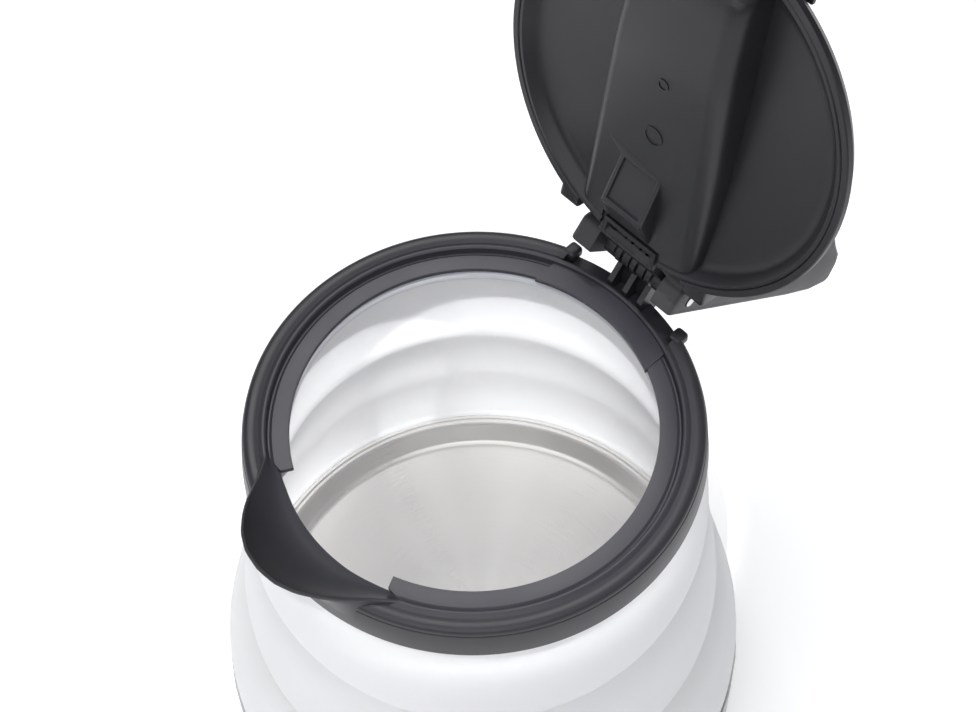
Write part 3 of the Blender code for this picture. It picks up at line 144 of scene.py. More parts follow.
def apply_modifiers(piece):
    """Make every modifier's result the piece's own mesh."""
    select_only(piece)
    for step in list(piece.modifiers):
        bpy.ops.object.modifier_apply(modifier=step.name)
    return piece


def round_edges(piece, width, segments=3, limit=38.0):
    """Round the sharp edges, as a mould does."""
    step = piece.modifiers.new("rounded", "BEVEL")
    step.width, step.segments, step.limit_method = width, segments, "ANGLE"
    step.angle_limit = math.radians(limit)
    step.use_clamp_overlap = True
    return apply_modifiers(piece)


def combine(piece, other, operation):
    """Cut another shape out of a piece, or join it on, and remove the other."""
    step = piece.modifiers.new("combined", "BOOLEAN")
    step.operation, step.solver, step.object = operation, "EXACT", other
    apply_modifiers(piece)
    bpy.data.objects.remove(other, do_unlink=True)
    return piece


# %% [markdown]
# Most of a kettle is turned. A lathe shape could be drawn as a curve, or made with the Screw
# modifier. Here one point is extruded along half of the cross-section and the line is spun once
# around the axis, because every groove is then a plain pair of numbers: radius and height.

# %% A helper for turned shapes
def spun(name, outline, steps=192):
    """Draw a closed outline of (radius, height) points and spin it about the Z axis."""
    bpy.ops.object.select_all(action="DESELECT")
    bpy.ops.mesh.primitive_plane_add(size=0.001)
    piece = bpy.context.object
    piece.name = piece.data.name = name
    bpy.ops.object.mode_set(mode="EDIT")
    bpy.ops.mesh.select_mode(type="VERT")
    bpy.ops.mesh.select_all(action="SELECT")
    bpy.ops.mesh.merge(type="CENTER")
    bpy.ops.transform.translate(value=(outline[0][0], 0.0, outline[0][1]))
    around = list(outline) + [outline[0]]
    for (radius, height), (next_radius, next_height) in zip(around, around[1:]):
        bpy.ops.mesh.extrude_region_move(
            TRANSFORM_OT_translate={"value": (next_radius - radius, 0.0, next_height - height)})
    bpy.ops.mesh.select_all(action="SELECT")
    bpy.ops.mesh.remove_doubles(threshold=0.000002)
    bpy.ops.mesh.select_all(action="SELECT")
    bpy.ops.mesh.spin(steps=steps, angle=math.tau, center=(0, 0, 0), axis=(0, 0, 1))
    leave_edit()
    return finish_mesh(piece)


def outlined(name, outline, low, high, across="y"):
    """Fill a flat outline and extrude it. Across y the points are (x, z), across z (x, y)."""
    bpy.ops.object.select_all(action="DESELECT")
    bpy.ops.mesh.primitive_circle_add(vertices=len(outline), radius=0.001, fill_type="NGON")
    piece = bpy.context.object
    piece.name = piece.data.name = name
    for vertex, (a, b) in zip(piece.data.vertices, outline):
        vertex.co = (a, low, b) if across == "y" else (a, b, low)
    edit_all(piece)
    depth = high - low
    move = (0.0, depth, 0.0) if across == "y" else (0.0, 0.0, depth)
    bpy.ops.mesh.extrude_region_move(TRANSFORM_OT_translate={"value": move})
    leave_edit()
    return finish_mesh(piece)


def lofted(name, sections):
    """Bridge closed loops of points, one after the other, and close both ends."""
    loops = []
    for section in sections:
        bpy.ops.mesh.primitive_circle_add(vertices=len(section), radius=0.001, fill_type="NOTHING")
        loop = bpy.context.object
        for vertex, point in zip(loop.data.vertices, section):
            vertex.co = point
        loops.append(loop)
    select_only(*loops)
    bpy.ops.object.join()
    piece = bpy.context.object
    piece.name = piece.data.name = name
    edit_all(piece)
    bpy.ops.mesh.bridge_edge_loops(type="SINGLE")
    bpy.ops.mesh.select_all(action="SELECT")
    bpy.ops.mesh.fill_holes(sides=0)
    leave_edit()
    return finish_mesh(piece)


def cube(name, low, high):
    """A box between two corners."""
    bpy.ops.object.select_all(action="DESELECT")
    size = [b - a for a, b in zip(low, high)]
    bpy.ops.mesh.primitive_cube_add(size=1.0, location=[(a + b) / 2 for a, b in zip(low, high)])
    piece = bpy.context.object
    piece.name = piece.data.name = name
    piece.scale = size
    return settle(piece)


def rod(name, radius, start, end, sides=48):
    """A round bar between two points."""
    bpy.ops.object.select_all(action="DESELECT")
    along = Vector(end) - Vector(start)
    bpy.ops.mesh.primitive_cylinder_add(
        vertices=sides, radius=radius, depth=along.length, location=(Vector(start) + Vector(end)) / 2,
        rotation=along.to_track_quat("Z", "Y").to_euler())
    piece = bpy.context.object
    piece.name = piece.data.name = name
    return settle(piece)


def across_hinge(name, radius, low, high, sides=48):
    """A round bar on the hinge's own line, between two places across it."""
    return rod(name, radius, (hinge.x, low, hinge.z), (hinge.x, high, hinge.z), sides)


def turned_about(piece, centre, axis, angle):
    """Turn a whole piece about a point, in edit mode so that its origin stays where it is."""
    edit_all(piece)
    bpy.ops.transform.rotate(value=angle, orient_axis=axis, center_override=centre)
    leave_edit()
    return piece


def copied(node, name):
    """A piece of one's own from a node of the model, with its loose triangles merged."""
    piece = bpy.data.objects.new(name, frame["nodes"][node].data.copy())
    bpy.context.collection.objects.link(piece)
    edit_all(piece)
    bpy.ops.mesh.remove_doubles(threshold=0.000002)
    bpy.ops.mesh.select_all(action="SELECT")
    bpy.ops.mesh.dissolve_limited(angle_limit=math.radians(1.0))
    leave_edit()
    bpy.ops.object.shade_smooth_by_angle(angle=math.radians(32))
    return piece

# %% [markdown]
# ## Finishes
# A flat colour looks like paint in a drawing. Moulded plastic has a fine spark-eroded grain and
# a slow change of tone where hands and cleaning have polished it. Many of the materials need
# both, so they are one node group, built once and placed in each with numbers of its own.

# %% A helper for shader groups
def shader_group(name, inputs, outputs):
    """A node group with named sockets, with its input node and its output node."""
    group = bpy.data.node_groups.new(name, "ShaderNodeTree")
    for label, kind, value in inputs:
        socket = group.interface.new_socket(name=label, in_out="INPUT", socket_type=kind)
        if value is not None:
            socket.default_value = value
    for label, kind in outputs:
        group.interface.new_socket(name=label, in_out="OUTPUT", socket_type=kind)
    return group, group.nodes.new("NodeGroupInput"), group.nodes.new("NodeGroupOutput")


# %% Grain of a spark-eroded mould
grain, grain_in, grain_out = shader_group(
    "moulded_grain",
    [("Vector", "NodeSocketVector", None), ("Grain scale", "NodeSocketFloat", 2600.0),
     ("Tone scale", "NodeSocketFloat", 60.0)],
    [("Height", "NodeSocketFloat"), ("Tone", "NodeSocketFloat")])
fine = grain.nodes.new("ShaderNodeTexNoise")
fine.inputs["Detail"].default_value = 3.0
fine.inputs["Roughness"].default_value = 0.6
broad = grain.nodes.new("ShaderNodeTexNoise")
broad.inputs["Detail"].default_value = 4.0
for texture, scale in ((fine, "Grain scale"), (broad, "Tone scale")):
    grain.links.new(grain_in.outputs["Vector"], texture.inputs["Vector"])
    grain.links.new(grain_in.outputs[scale], texture.inputs["Scale"])
grain.links.new(fine.outputs["Fac"], grain_out.inputs["Height"])
grain.links.new(broad.outputs["Fac"], grain_out.inputs["Tone"])

# %% [markdown]
# Turned steel carries rings that follow the tool. The distance that the tool has gone, out along
# the radius and up the wall, drives a noise of one dimension, so a ring keeps its tone all the
# way round. A second, faint noise breaks the rings into short strokes, as a brushing wheel does.
# A third, on the direction from the axis alone, paints a soft fan of light and dark into the colour: a painted
# reflection that stands in for the sheen a turned floor shows under the lamps.

# %% Rings of a turned or brushed disc
rings, rings_in, rings_out = shader_group(
    "turned_rings_and_painted_fan",
    [("Vector", "NodeSocketVector", None), ("Rings per metre", "NodeSocketFloat", 9000.0),
     ("Stroke", "NodeSocketFloat", 0.4), ("Painted sheen fan", "NodeSocketFloat", 0.0)],
    [("Height", "NodeSocketFloat"), ("Tone", "NodeSocketFloat")])
split = rings.nodes.new("ShaderNodeSeparateXYZ")
flat = rings.nodes.new("ShaderNodeCombineXYZ")
radius_of = rings.nodes.new("ShaderNodeVectorMath")
radius_of.operation = "LENGTH"
tool_path = rings.nodes.new("ShaderNodeMath")
tool_path.operation = "ADD"
angle_of = rings.nodes.new("ShaderNodeMath")
angle_of.operation = "ARCTAN2"
turns = rings.nodes.new("ShaderNodeMath")
turns.operation = "MULTIPLY"
ring_noise = rings.nodes.new("ShaderNodeTexNoise")
ring_noise.noise_dimensions = "1D"
ring_noise.inputs["Scale"].default_value = 1.0
ring_noise.inputs["Detail"].default_value = 4.0
stroke_place = rings.nodes.new("ShaderNodeCombineXYZ")
stroke_noise = rings.nodes.new("ShaderNodeTexNoise")
stroke_noise.inputs["Scale"].default_value = 1.0
stroke_noise.inputs["Detail"].default_value = 2.0
blend_tone = rings.nodes.new("ShaderNodeMix")
direction = rings.nodes.new("ShaderNodeVectorMath")
direction.operation = "NORMALIZE"
# Painted reflection: a noise on the direction from the axis, mixed into the colour as bright and dark sectors.
painted_fan_noise = rings.nodes.new("ShaderNodeTexNoise")
painted_fan_noise.inputs["Scale"].default_value = 2.6
painted_fan_noise.inputs["Detail"].default_value = 1.0
painted_fan_tone = rings.nodes.new("ShaderNodeMix")
rings.links.new(rings_in.outputs["Vector"], split.inputs["Vector"])
rings.links.new(split.outputs["X"], flat.inputs["X"])
rings.links.new(split.outputs["Y"], flat.inputs["Y"])
rings.links.new(flat.outputs["Vector"], radius_of.inputs[0])
rings.links.new(split.outputs["Y"], angle_of.inputs[0])
rings.links.new(split.outputs["X"], angle_of.inputs[1])
rings.links.new(radius_of.outputs["Value"], tool_path.inputs[0])
rings.links.new(split.outputs["Z"], tool_path.inputs[1])
rings.links.new(tool_path.outputs["Value"], turns.inputs[0])
rings.links.new(rings_in.outputs["Rings per metre"], turns.inputs[1])
rings.links.new(turns.outputs["Value"], ring_noise.inputs["W"])
rings.links.new(turns.outputs["Value"], stroke_place.inputs["X"])
rings.links.new(angle_of.outputs["Value"], stroke_place.inputs["Y"])
rings.links.new(stroke_place.outputs["Vector"], stroke_noise.inputs["Vector"])
rings.links.new(rings_in.outputs["Stroke"], blend_tone.inputs["Factor"])
rings.links.new(ring_noise.outputs["Fac"], blend_tone.inputs["A"])
rings.links.new(stroke_noise.outputs["Fac"], blend_tone.inputs["B"])
rings.links.new(ring_noise.outputs["Fac"], rings_out.inputs["Height"])
rings.links.new(flat.outputs["Vector"], direction.inputs[0])
rings.links.new(direction.outputs["Vector"], painted_fan_noise.inputs["Vector"])
rings.links.new(rings_in.outputs["Painted sheen fan"], painted_fan_tone.inputs["Factor"])
rings.links.new(blend_tone.outputs["Result"], painted_fan_tone.inputs["A"])
rings.links.new(painted_fan_noise.outputs["Fac"], painted_fan_tone.inputs["B"])
rings.links.new(painted_fan_tone.outputs["Result"], rings_out.inputs["Tone"])

# %% [markdown]
# One function then makes each finish: two tones mixed by the group's mask, a roughness that
# wanders between two values, and a bump. The shader itself stays in the material, where the
# numbers that don't change over the surface are set on its own sockets.

# %% A helper for finishes
def finish(name, group, settings, dark, light, smooth, rough, depth, metallic=0.0, **plain):
    """A Principled material whose colour, roughness and bump come from a shared group."""
    made = bpy.data.materials.new(name)
    made.use_nodes = True
    nodes, links = made.node_tree.nodes, made.node_tree.links
    shader = nodes["Principled BSDF"]
    place = nodes.new("ShaderNodeTexCoord")
    pattern = nodes.new("ShaderNodeGroup")
    pattern.node_tree = group
    links.new(place.outputs["Object"], pattern.inputs["Vector"])
    for label, value in settings.items():
        pattern.inputs[label].default_value = value
    colour = nodes.new("ShaderNodeMix")
    colour.data_type = "RGBA"
    colour.inputs["A"].default_value = (*dark, 1.0)
    colour.inputs["B"].default_value = (*light, 1.0)
    links.new(pattern.outputs["Tone"], colour.inputs["Factor"])
    links.new(colour.outputs["Result"], shader.inputs["Base Color"])
    wander = nodes.new("ShaderNodeMapRange")
    wander.inputs["From Min"].default_value = 0.3
    wander.inputs["From Max"].default_value = 0.7
    wander.inputs["To Min"].default_value = smooth
    wander.inputs["To Max"].default_value = rough
    links.new(pattern.outputs["Tone"], wander.inputs["Value"])
    links.new(wander.outputs["Result"], shader.inputs["Roughness"])
    bump = nodes.new("ShaderNodeBump")
    bump.inputs["Strength"].default_value = 1.0
    bump.inputs["Distance"].default_value = depth
    links.new(pattern.outputs["Height"], bump.inputs["Height"])
    links.new(bump.outputs["Normal"], shader.inputs["Normal"])
    shader.inputs["Metallic"].default_value = metallic
    for label, value in plain.items():
        shader.inputs[label.replace("_", " ")].default_value = value
    return made


# %% Plastics and rubber
satin_black = finish("satin_black_plastic", grain, {"Grain scale": 2600.0, "Tone scale": 55.0},
                     (0.013, 0.013, 0.016), (0.018, 0.018, 0.022), 0.34, 0.44, 0.000008)
# Painted shade: the lid's inner moulding is a slightly darker copy of the satin black, darkened to stand in for
# the shade on the lid's dish.
liner_black_shaded = finish("liner_black_plastic_painted_shade", grain, {"Grain scale": 3000.0, "Tone scale": 40.0},
                     (0.011, 0.011, 0.014), (0.016, 0.016, 0.020), 0.34, 0.44, 0.000007)
handle_grey = finish("handle_plastic_grained", grain, {"Grain scale": 2200.0, "Tone scale": 45.0},
                     (0.030, 0.030, 0.032), (0.040, 0.040, 0.043), 0.44, 0.54, 0.000014)
foot_rubber = finish("foot_rubber", grain, {"Grain scale": 1800.0, "Tone scale": 90.0},
                     (0.10, 0.10, 0.10), (0.15, 0.15, 0.15), 0.70, 0.85, 0.000020)
brown_moulding = finish("brown_moulding", grain, {"Grain scale": 1500.0, "Tone scale": 120.0},
                        (0.09, 0.055, 0.035), (0.13, 0.085, 0.055), 0.50, 0.65, 0.000012)
white_ceramic = finish("white_ceramic", grain, {"Grain scale": 1600.0, "Tone scale": 150.0},
                       (0.70, 0.68, 0.63), (0.82, 0.80, 0.76), 0.40, 0.55, 0.000008)
red_sleeve = finish("red_sleeve", grain, {"Grain scale": 1200.0, "Tone scale": 200.0},
                    (0.26, 0.055, 0.030), (0.36, 0.085, 0.045), 0.35, 0.50, 0.000010)

# %% [markdown]
# Food-grade silicone is white but not opaque: light enters and leaves nearby, which fills the
# creases. A little subsurface scattering does that. The surface is dull and has no grain, only a
# very slow change of tone.

# %% Silicone
white_silicone = finish("white_silicone_soft", grain, {"Grain scale": 700.0, "Tone scale": 25.0},
                        (0.80, 0.81, 0.83), (0.86, 0.865, 0.875), 0.46, 0.58, 0.000012,
                        Subsurface_Weight=0.8, Subsurface_Scale=0.008,
                        Subsurface_Radius=(1.0, 0.95, 0.95))
# Painted shade: the clamp ring under the lip is grey-blue, a tone that stands in for the silicone shaded by the
# lip above it.
cuff_shaded_grey = finish("cuff_plastic_painted_shade", grain, {"Grain scale": 1800.0, "Tone scale": 60.0},
                      (0.50, 0.51, 0.56), (0.56, 0.57, 0.62), 0.36, 0.48, 0.000006)

# %% Steels and other metals
# The plate's colour goes from dark to bright by the group's tone. Its rings and strokes are its own; the fan of
# sectors from the axis is painted reflection.
plate_steel = finish("turned_plate_steel", rings,
                     {"Rings per metre": 9000.0, "Stroke": 0.5, "Painted sheen fan": 0.55},
                     (0.66, 0.64, 0.62), (0.97, 0.955, 0.93), 0.22, 0.40, 0.000003, 1.0)
band_steel = finish("brushed_band_steel", rings, {"Rings per metre": 14000.0, "Stroke": 0.6},
                    (0.26, 0.26, 0.265), (0.36, 0.36, 0.365), 0.24, 0.38, 0.000002, 1.0)
bright_steel = finish("bright_pin_steel", grain, {"Grain scale": 1500.0, "Tone scale": 300.0},
                      (0.68, 0.67, 0.65), (0.78, 0.77, 0.75), 0.14, 0.24, 0.000002, 1.0)
cast_metal = finish("cast_aluminium_rough", grain, {"Grain scale": 1300.0, "Tone scale": 90.0},
                    (0.48, 0.48, 0.50), (0.62, 0.62, 0.64), 0.40, 0.58, 0.000030, 1.0)
sheath_metal = finish("heater_sheath", grain, {"Grain scale": 1400.0, "Tone scale": 140.0},
                      (0.28, 0.25, 0.23), (0.42, 0.38, 0.34), 0.36, 0.56, 0.000015, 1.0)
contact_brass = finish("contact_brass", grain, {"Grain scale": 1400.0, "Tone scale": 220.0},
                       (0.62, 0.45, 0.19), (0.76, 0.59, 0.29), 0.22, 0.36, 0.000004, 1.0)
amber_plastic = finish("amber_lens_plastic", grain, {"Grain scale": 900.0, "Tone scale": 150.0},
                       (0.62, 0.18, 0.02), (0.82, 0.30, 0.05), 0.10, 0.20, 0.000003,
                       Transmission_Weight=0.35)
lamp_glass = finish("lamp_glass_clear", grain, {"Grain scale": 900.0, "Tone scale": 150.0},
                    (0.90, 0.82, 0.70), (0.96, 0.90, 0.82), 0.04, 0.10, 0.000002,
                    Transmission_Weight=0.7)
print("finishes:", len(bpy.data.materials))

# %% [markdown]
# Every node that stays in view as it is gets its finish through its own material slots, by the
# record's name for that slot.

# %% Dress the nodes that keep their own shape
slot_finish = {
    "black_plastic": satin_black, "dark_plastic": liner_black_shaded, "handle_plastic": handle_grey,
    "white_silicone": white_silicone, "cuff_plastic": cuff_shaded_grey, "grey_rubber": foot_rubber,
    "band_steel": band_steel, "plate_steel": plate_steel, "pin_steel": bright_steel,
    "cast_aluminium": cast_metal, "element_sheath": sheath_metal, "brass": contact_brass,
    "phenolic": brown_moulding, "ceramic": white_ceramic, "wire_insulation": red_sleeve,
    "amber_lens": amber_plastic, "lamp_glass": lamp_glass,
}
slot_of = {part["node"]: part["material_slot"] for part in frame["record"]["subparts"]}
for node, piece in frame["nodes"].items():
    piece.data.materials.clear()
    piece.data.materials.append(slot_finish[slot_of[node]])
print("dressed nodes:", len(slot_of))


def dress(piece, body, *nodes, made=None):
    """Give a piece its finish, let it ride on a body and hide the nodes that it stands for."""
    settle(piece)
    named = slot_of[nodes[0]] if nodes else "black_plastic"
    piece.data.materials.clear()
    piece.data.materials.append(made or slot_finish[named])
    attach(piece, body)
    if nodes:
        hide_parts(*nodes)
    print(piece.name, "has", len(piece.data.polygons), "faces")
    return piece

# %% [markdown]
# ## Silicone body
# The real body is one soft moulding: three rounded tiers that nest when it is pressed down, with
# a thin crease above each. It could be drawn as a curve and screwed, but the tiers are worked
# out here from the height of each crease. The inside is smoother: it swells only a little between
# its folds, so the wall is thick at the crowns and thin where it has to bend.

# %% Work out the section of the bellows
def tier_points(foot, head, crown, shoulder, steps=11):
    """Outer points of one tier from its foot to the crease above it, as (radius, height)."""
    points = []
    for step in range(steps):
        share = step / (steps - 1)
        lean = foot[0] + (head[0] - foot[0]) * share
        full = 1 - abs(2 * share - 1) ** 2.6
        lift = full * crown + shoulder * max(0.0, share - 0.55) ** 1.2 * (1 - share) * 6
        points.append((lean + lift, foot[1] + (head[1] - foot[1]) * share))
    return points


def bellows_outline():
    """The wall's whole section: up the outside, over the bead and down the inside."""
    foot_height, fold_swell = 0.0275, 0.0006
    plain_crown, plain_shoulder, neck_crown = 0.0016, 0.0022, 0.0024
    creases = [(0.0749, 0.0336), (0.0665, 0.0658), (0.0605, 0.1005), (0.0577, 0.1315)]
    outer = [(0.0749, foot_height)]
    for index, (foot, head) in enumerate(zip(creases, creases[1:])):
        neck = index == len(creases) - 2
        points = tier_points(foot, head, neck_crown if neck else plain_crown,
                             0.0 if neck else plain_shoulder)
        outer += points[1 if index else 0:]
    folds = [(0.0699, 0.0334), (0.0638, 0.0690), (0.0562, 0.1020), (0.0536, 0.1380)]
    inner = []
    for foot, head in zip(folds, folds[1:]):
        for step in range(10):
            share = step / 10
            swell = fold_swell * math.sin(math.pi * share)
            inner.append((foot[0] + (head[0] - foot[0]) * share + swell,
                          foot[1] + (head[1] - foot[1]) * share))
    bead = [(0.0576, 0.1450), (0.0530, 0.1450), (0.0528, 0.1400), folds[-1]]
    return outer + bead + inner[::-1] + [(0.0699, foot_height)]


bellows = spun("bellows", bellows_outline(), 160)
dress(bellows, "base", "silicone_body")
box_low, box_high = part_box("silicone_body")
height = box_high.z - box_low.z
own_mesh(bellows)

# %% Ring that clamps the silicone under the lip, grey-blue as painted shade of the silicone
cuff = spun("clamp_lip", above_rim([
    (52.1, -3.05), (47.8, -3.05), (47.6, -3.3), (47.6, -6.6), (47.75, -6.95), (50.1, -7.6),
    (50.4, -7.9), (52.1, -8.0)]))
spout_gap = 0.0257
combine(cuff, cube("clamp_opening", (-0.062, -spout_gap, 0.138), (-0.030, spout_gap, 0.149)),
        "DIFFERENCE")
dress(cuff, "collar", "clamp_ring")

# %% [markdown]
# ## Heating plate
# The plate is a shallow dish pressed from sheet steel and turned bright. A flat disc would do
# from afar, but the rim, its small step and the sloping wall are what the light plays on, so the
# section is drawn with each bend rounded.

# %% Pressed plate
plate = spun("plate_pressing", [
    (0.0693, 0.0326), (0.0693, 0.0331), (0.0690, 0.0334), (0.0683, 0.03345), (0.0680, 0.0331),
    (0.0677, 0.03345), (0.0669, 0.03345), (0.0664, 0.0331), (0.0660, 0.0325), (0.0638, 0.0284),
    (0.0634, 0.0279), (0.0629, 0.0277), (0.0622, 0.02745), (0.0616, 0.0277), (0.0609, 0.0278),
    (0.0, 0.0278), (0.0, 0.0267), (0.0618, 0.0265), (0.0640, 0.0270), (0.0650, 0.0284),
    (0.0664, 0.0312), (0.0672, 0.0320)], 192)
dress(plate, "base", "heating_plate")

# %% [markdown]
# ## Collar
# The collar is one black moulding. Most of it is turned: the ledge that the lid rests on, a low
# wall round the ledge, a ridge, a shallow groove, a rounded band and the skirt. The sizes are
# millimetres from the rim, read from the picture along one line across the ring.

# %% Turn the ring
collar = spun("collar_moulding", above_rim([
    (47.0, -2.4), (47.0, -1.5), (47.1, -1.28), (47.4, -1.2), (51.4, -1.4), (52.1, -1.9),
    (52.5, -1.85), (52.65, -1.3), (52.85, -0.1), (53.05, 0.1), (53.4, 0.2), (53.8, 0.2), (54.15, 0.05),
    (54.5, -0.2), (54.9, -0.35), (55.3, -0.25), (55.8, -0.05), (56.6, 0.08), (57.4, 0.05),
    (58.1, -0.15), (58.6, -0.55), (58.85, -1.0), (58.95, -1.75), (58.75, -1.9), (58.75, -2.1),
    (59.1, -2.2), (59.2, -2.5), (59.95, -10.1), (59.9, -10.4), (59.7, -10.5), (58.2, -10.5),
    (57.9, -4.65), (53.5, -4.65), (53.3, -2.7), (47.2, -2.7)]), 256)

# %% [markdown]
# The spout is a pouring lip that swells out of the ring. It can't be turned. It is bridged from
# cross-sections that stand round the axis like the pages of an open book: each page shows the
# lip, the trough, the rim and the outer wall, and the rim sinks into the ring at both ends. Both
# tables give a turn in degrees from the spout's middle, then a radius and a height in millimetres.

# %% Cross-sections of the spout
rim_places = [
    (0.0, 68.4, 6.6), (4.8, 67.9, 6.5), (9.3, 66.2, 5.9), (13.6, 63.6, 4.9), (17.0, 61.3, 3.9),
    (20.2, 58.8, 2.6), (23.5, 56.6, 1.5), (27.5, 54.8, 0.6), (30.6, 53.6, 0.1), (33.0, 52.8, -0.6)]
lip_places = [
    (0.0, 50.3, -3.4), (12.0, 50.3, -3.3), (20.0, 50.2, -2.8), (25.5, 50.4, -2.2),
    (30.6, 52.4, -1.2), (33.0, 52.4, -1.4)]
spout_turn = -4.0
rim_width, rim_edge, lip_width, least_trough = 1.1, 0.6, 0.4, 0.7
band_radius, spout_foot = 59.5, -8.6


def between(places, at):
    """Read a table's other numbers at a place given by its first, along straight lines."""
    for (start, *low), (end, *high) in zip(places, places[1:]):
        if at <= end:
            share = (at - start) / (end - start)
            return [a + (b - a) * share for a, b in zip(low, high)]
    return list(places[-1][1:])


def at_turn(radius, turn):
    """A point in plan, from a radius in millimetres and a turn from the spout's middle."""
    angle = math.radians(180 + turn + spout_turn)
    return (radius / 1000 * math.cos(angle), radius / 1000 * math.sin(angle))


def spout_page(turn):
    """The spout's section at a turn in degrees from its middle, as points in space."""
    reach, rise = between(rim_places, abs(turn))
    lip, floor = between(lip_places, abs(turn))
    inner = max(reach - rim_width, lip + least_trough)
    start, outer, edge = lip + lip_width, inner + rim_width, rise - rim_edge
    points = [(start, -6.6), (lip, -6.0), (lip, floor - 0.5), (lip + 0.15, floor - 0.15)]
    for step in range(8):
        share = step / 7
        points.append((start + (inner - start) * share,
                       floor + (rise - 0.25 - floor) * share ** 1.5))
    points += [(inner + 0.3, rise - 0.05), (inner + 0.6, rise), (inner + 0.95, rise - 0.15),
               (outer, edge)]
    for share in (0.15, 0.35, 0.6, 0.8, 1.0):
        points.append((outer + (band_radius - outer) * (1 - (1 - share) ** 1.6),
                       edge + (spout_foot - edge) * share))
    points += [(58.4, spout_foot), (57.5, -6.2)]
    return [(*at_turn(radius, turn), collar_top + height / 1000) for radius, height in points]


spout = lofted("spout_form", [spout_page(turn * 1.25) for turn in range(-26, 27)])
trough_side = [(40.0, 24.6), (50.3, 25.2), (51.5, 27.8), (53.0, 31.0), (54.1, 27.6), (56.0, 23.8),
               (58.6, 19.7), (58.6, 12.0), (58.6, 8), (58.6, 4)]
trough_plan = [at_turn(radius, turn) for radius, turn in trough_side] + [at_turn(58.6, 0)]
trough_plan += [at_turn(radius, -turn) for radius, turn in trough_side[::-1]]
combine(collar, outlined("trough_space", trough_plan, collar_top - 0.0082, collar_top + 0.0030,
                         across="z"), "DIFFERENCE")
combine(collar, spout, "UNION")
print("collar with spout:", len(collar.data.polygons), "faces")

# %% [markdown]
# Across from the spout the band is cut away for the hinge. Three thin ribs stand in the cut with
# the pin through their eyes, and a small round nub ends the band on each side.

# %% Hinge seat, ribs and nubs
seat_half, pad_half, nub_inside, nub_outside = 0.0190, 0.0200, 0.0172, 0.0210
rib_middles, rib_half, rib_eye, back_half = (-0.0052, 0.0, 0.0052), 0.0008, 0.0036, 0.0056
pin_bore, through_half = 0.0018, 0.02


def hinge_side(name, half):
    """A block over the hinge's side of the kettle, to cut a turned shape down to a width."""
    return cube(name, (0.020, -half, 0.130), (0.080, half, 0.180))


seat = spun("seat_space", above_rim([
    (66.0, 14.5), (66.0, -5.2), (54.6, -3.0), (54.0, -2.4), (54.0, 14.5)]), 160)
combine(seat, hinge_side("seat_sides", seat_half), "INTERSECT")
combine(collar, seat, "DIFFERENCE")
eye = [(hinge.x + rib_eye * math.cos(math.radians(turn)),
        hinge.z + rib_eye * math.sin(math.radians(turn))) for turn in range(245, -31, -15)]
rib_outline = [(0.0543, 0.1466), (0.0548, 0.1502)] + eye + [
    (0.0641, 0.1486), (0.0664, 0.1464), (0.0655, 0.1446), (0.0591, 0.1427), (0.0591, 0.1466)]
rib = outlined("hinge_rib", rib_outline, -rib_half, rib_half)
for middle in rib_middles:
    select_only(rib)
    bpy.ops.object.duplicate(linked=False)
    one = bpy.context.object
    one.location.y = middle
    settle(one)
    combine(collar, one, "UNION")
bpy.data.objects.remove(rib, do_unlink=True)
for side in (-1, 1):
    low, high = sorted((side * nub_inside, side * nub_outside))
    nub = cube("nub", (0.0530, low, 0.1470), (0.0574, high, 0.1504))
    round_edges(nub, 0.0010, 4)
    combine(collar, nub, "UNION")
pad = spun("hinge_pad", above_rim([
    (46.4, -2.4), (46.4, -1.3), (46.7, -1.0), (53.4, -1.0), (53.4, -2.6), (47.2, -2.6)]))
combine(pad, hinge_side("pad_sides", pad_half), "INTERSECT")
combine(collar, pad, "UNION")
combine(collar, outlined("rib_back", [
    (0.0586, 0.1440), (0.0622, 0.1455), (0.0616, 0.1530), (0.0598, 0.1536), (0.0586, 0.1500)],
    -back_half, back_half), "UNION")
combine(collar, across_hinge("rib_bore", pin_bore, -through_half, through_half), "DIFFERENCE")
finish_mesh(collar, 30.0)
dress(collar, "collar", "collar")

# %% [markdown]
# ## Lid
# The lid is drawn closed, over the mouth, where all its sizes are plain radii and heights, and is
# then swung open about the hinge pin. Its dish, its rim and the box that makes room for the
# folded handle are one moulding on the inside. The outer skin is a second moulding.

# %% Helpers for shapes that are drawn closed
def closed(points):
    """Millimetres from the axis and above the lid's foot, as (radius, height) in metres."""
    return [(radius / 1000, lid_foot + rise / 1000) for radius, rise in points]


def swung(piece):
    """Open a piece of the lid about the hinge pin."""
    return turned_about(piece, tuple(hinge), "Y", -lid_turn)


handle_length, handle_root, handle_taper = 0.0955, 0.0174, 0.0033
handle_gap, space_length, space_back = 0.0006, 0.0995, 0.004


def handle_half(along):
    """Half the handle's width at a distance from the pin."""
    return handle_root - handle_taper * along / handle_length


def handle_space(name, out, low, high):
    """The folded handle's wedge in plan, with its walls moved out."""
    far, near = hinge.x - space_length - out, hinge.x + space_back
    narrow = handle_half(handle_length) + handle_gap + out
    wide = handle_half(-space_back) + handle_gap + out
    plan = [(far, -narrow), (near, -wide), (near, wide), (far, narrow)]
    return outlined(name, plan, low, high, across="z")


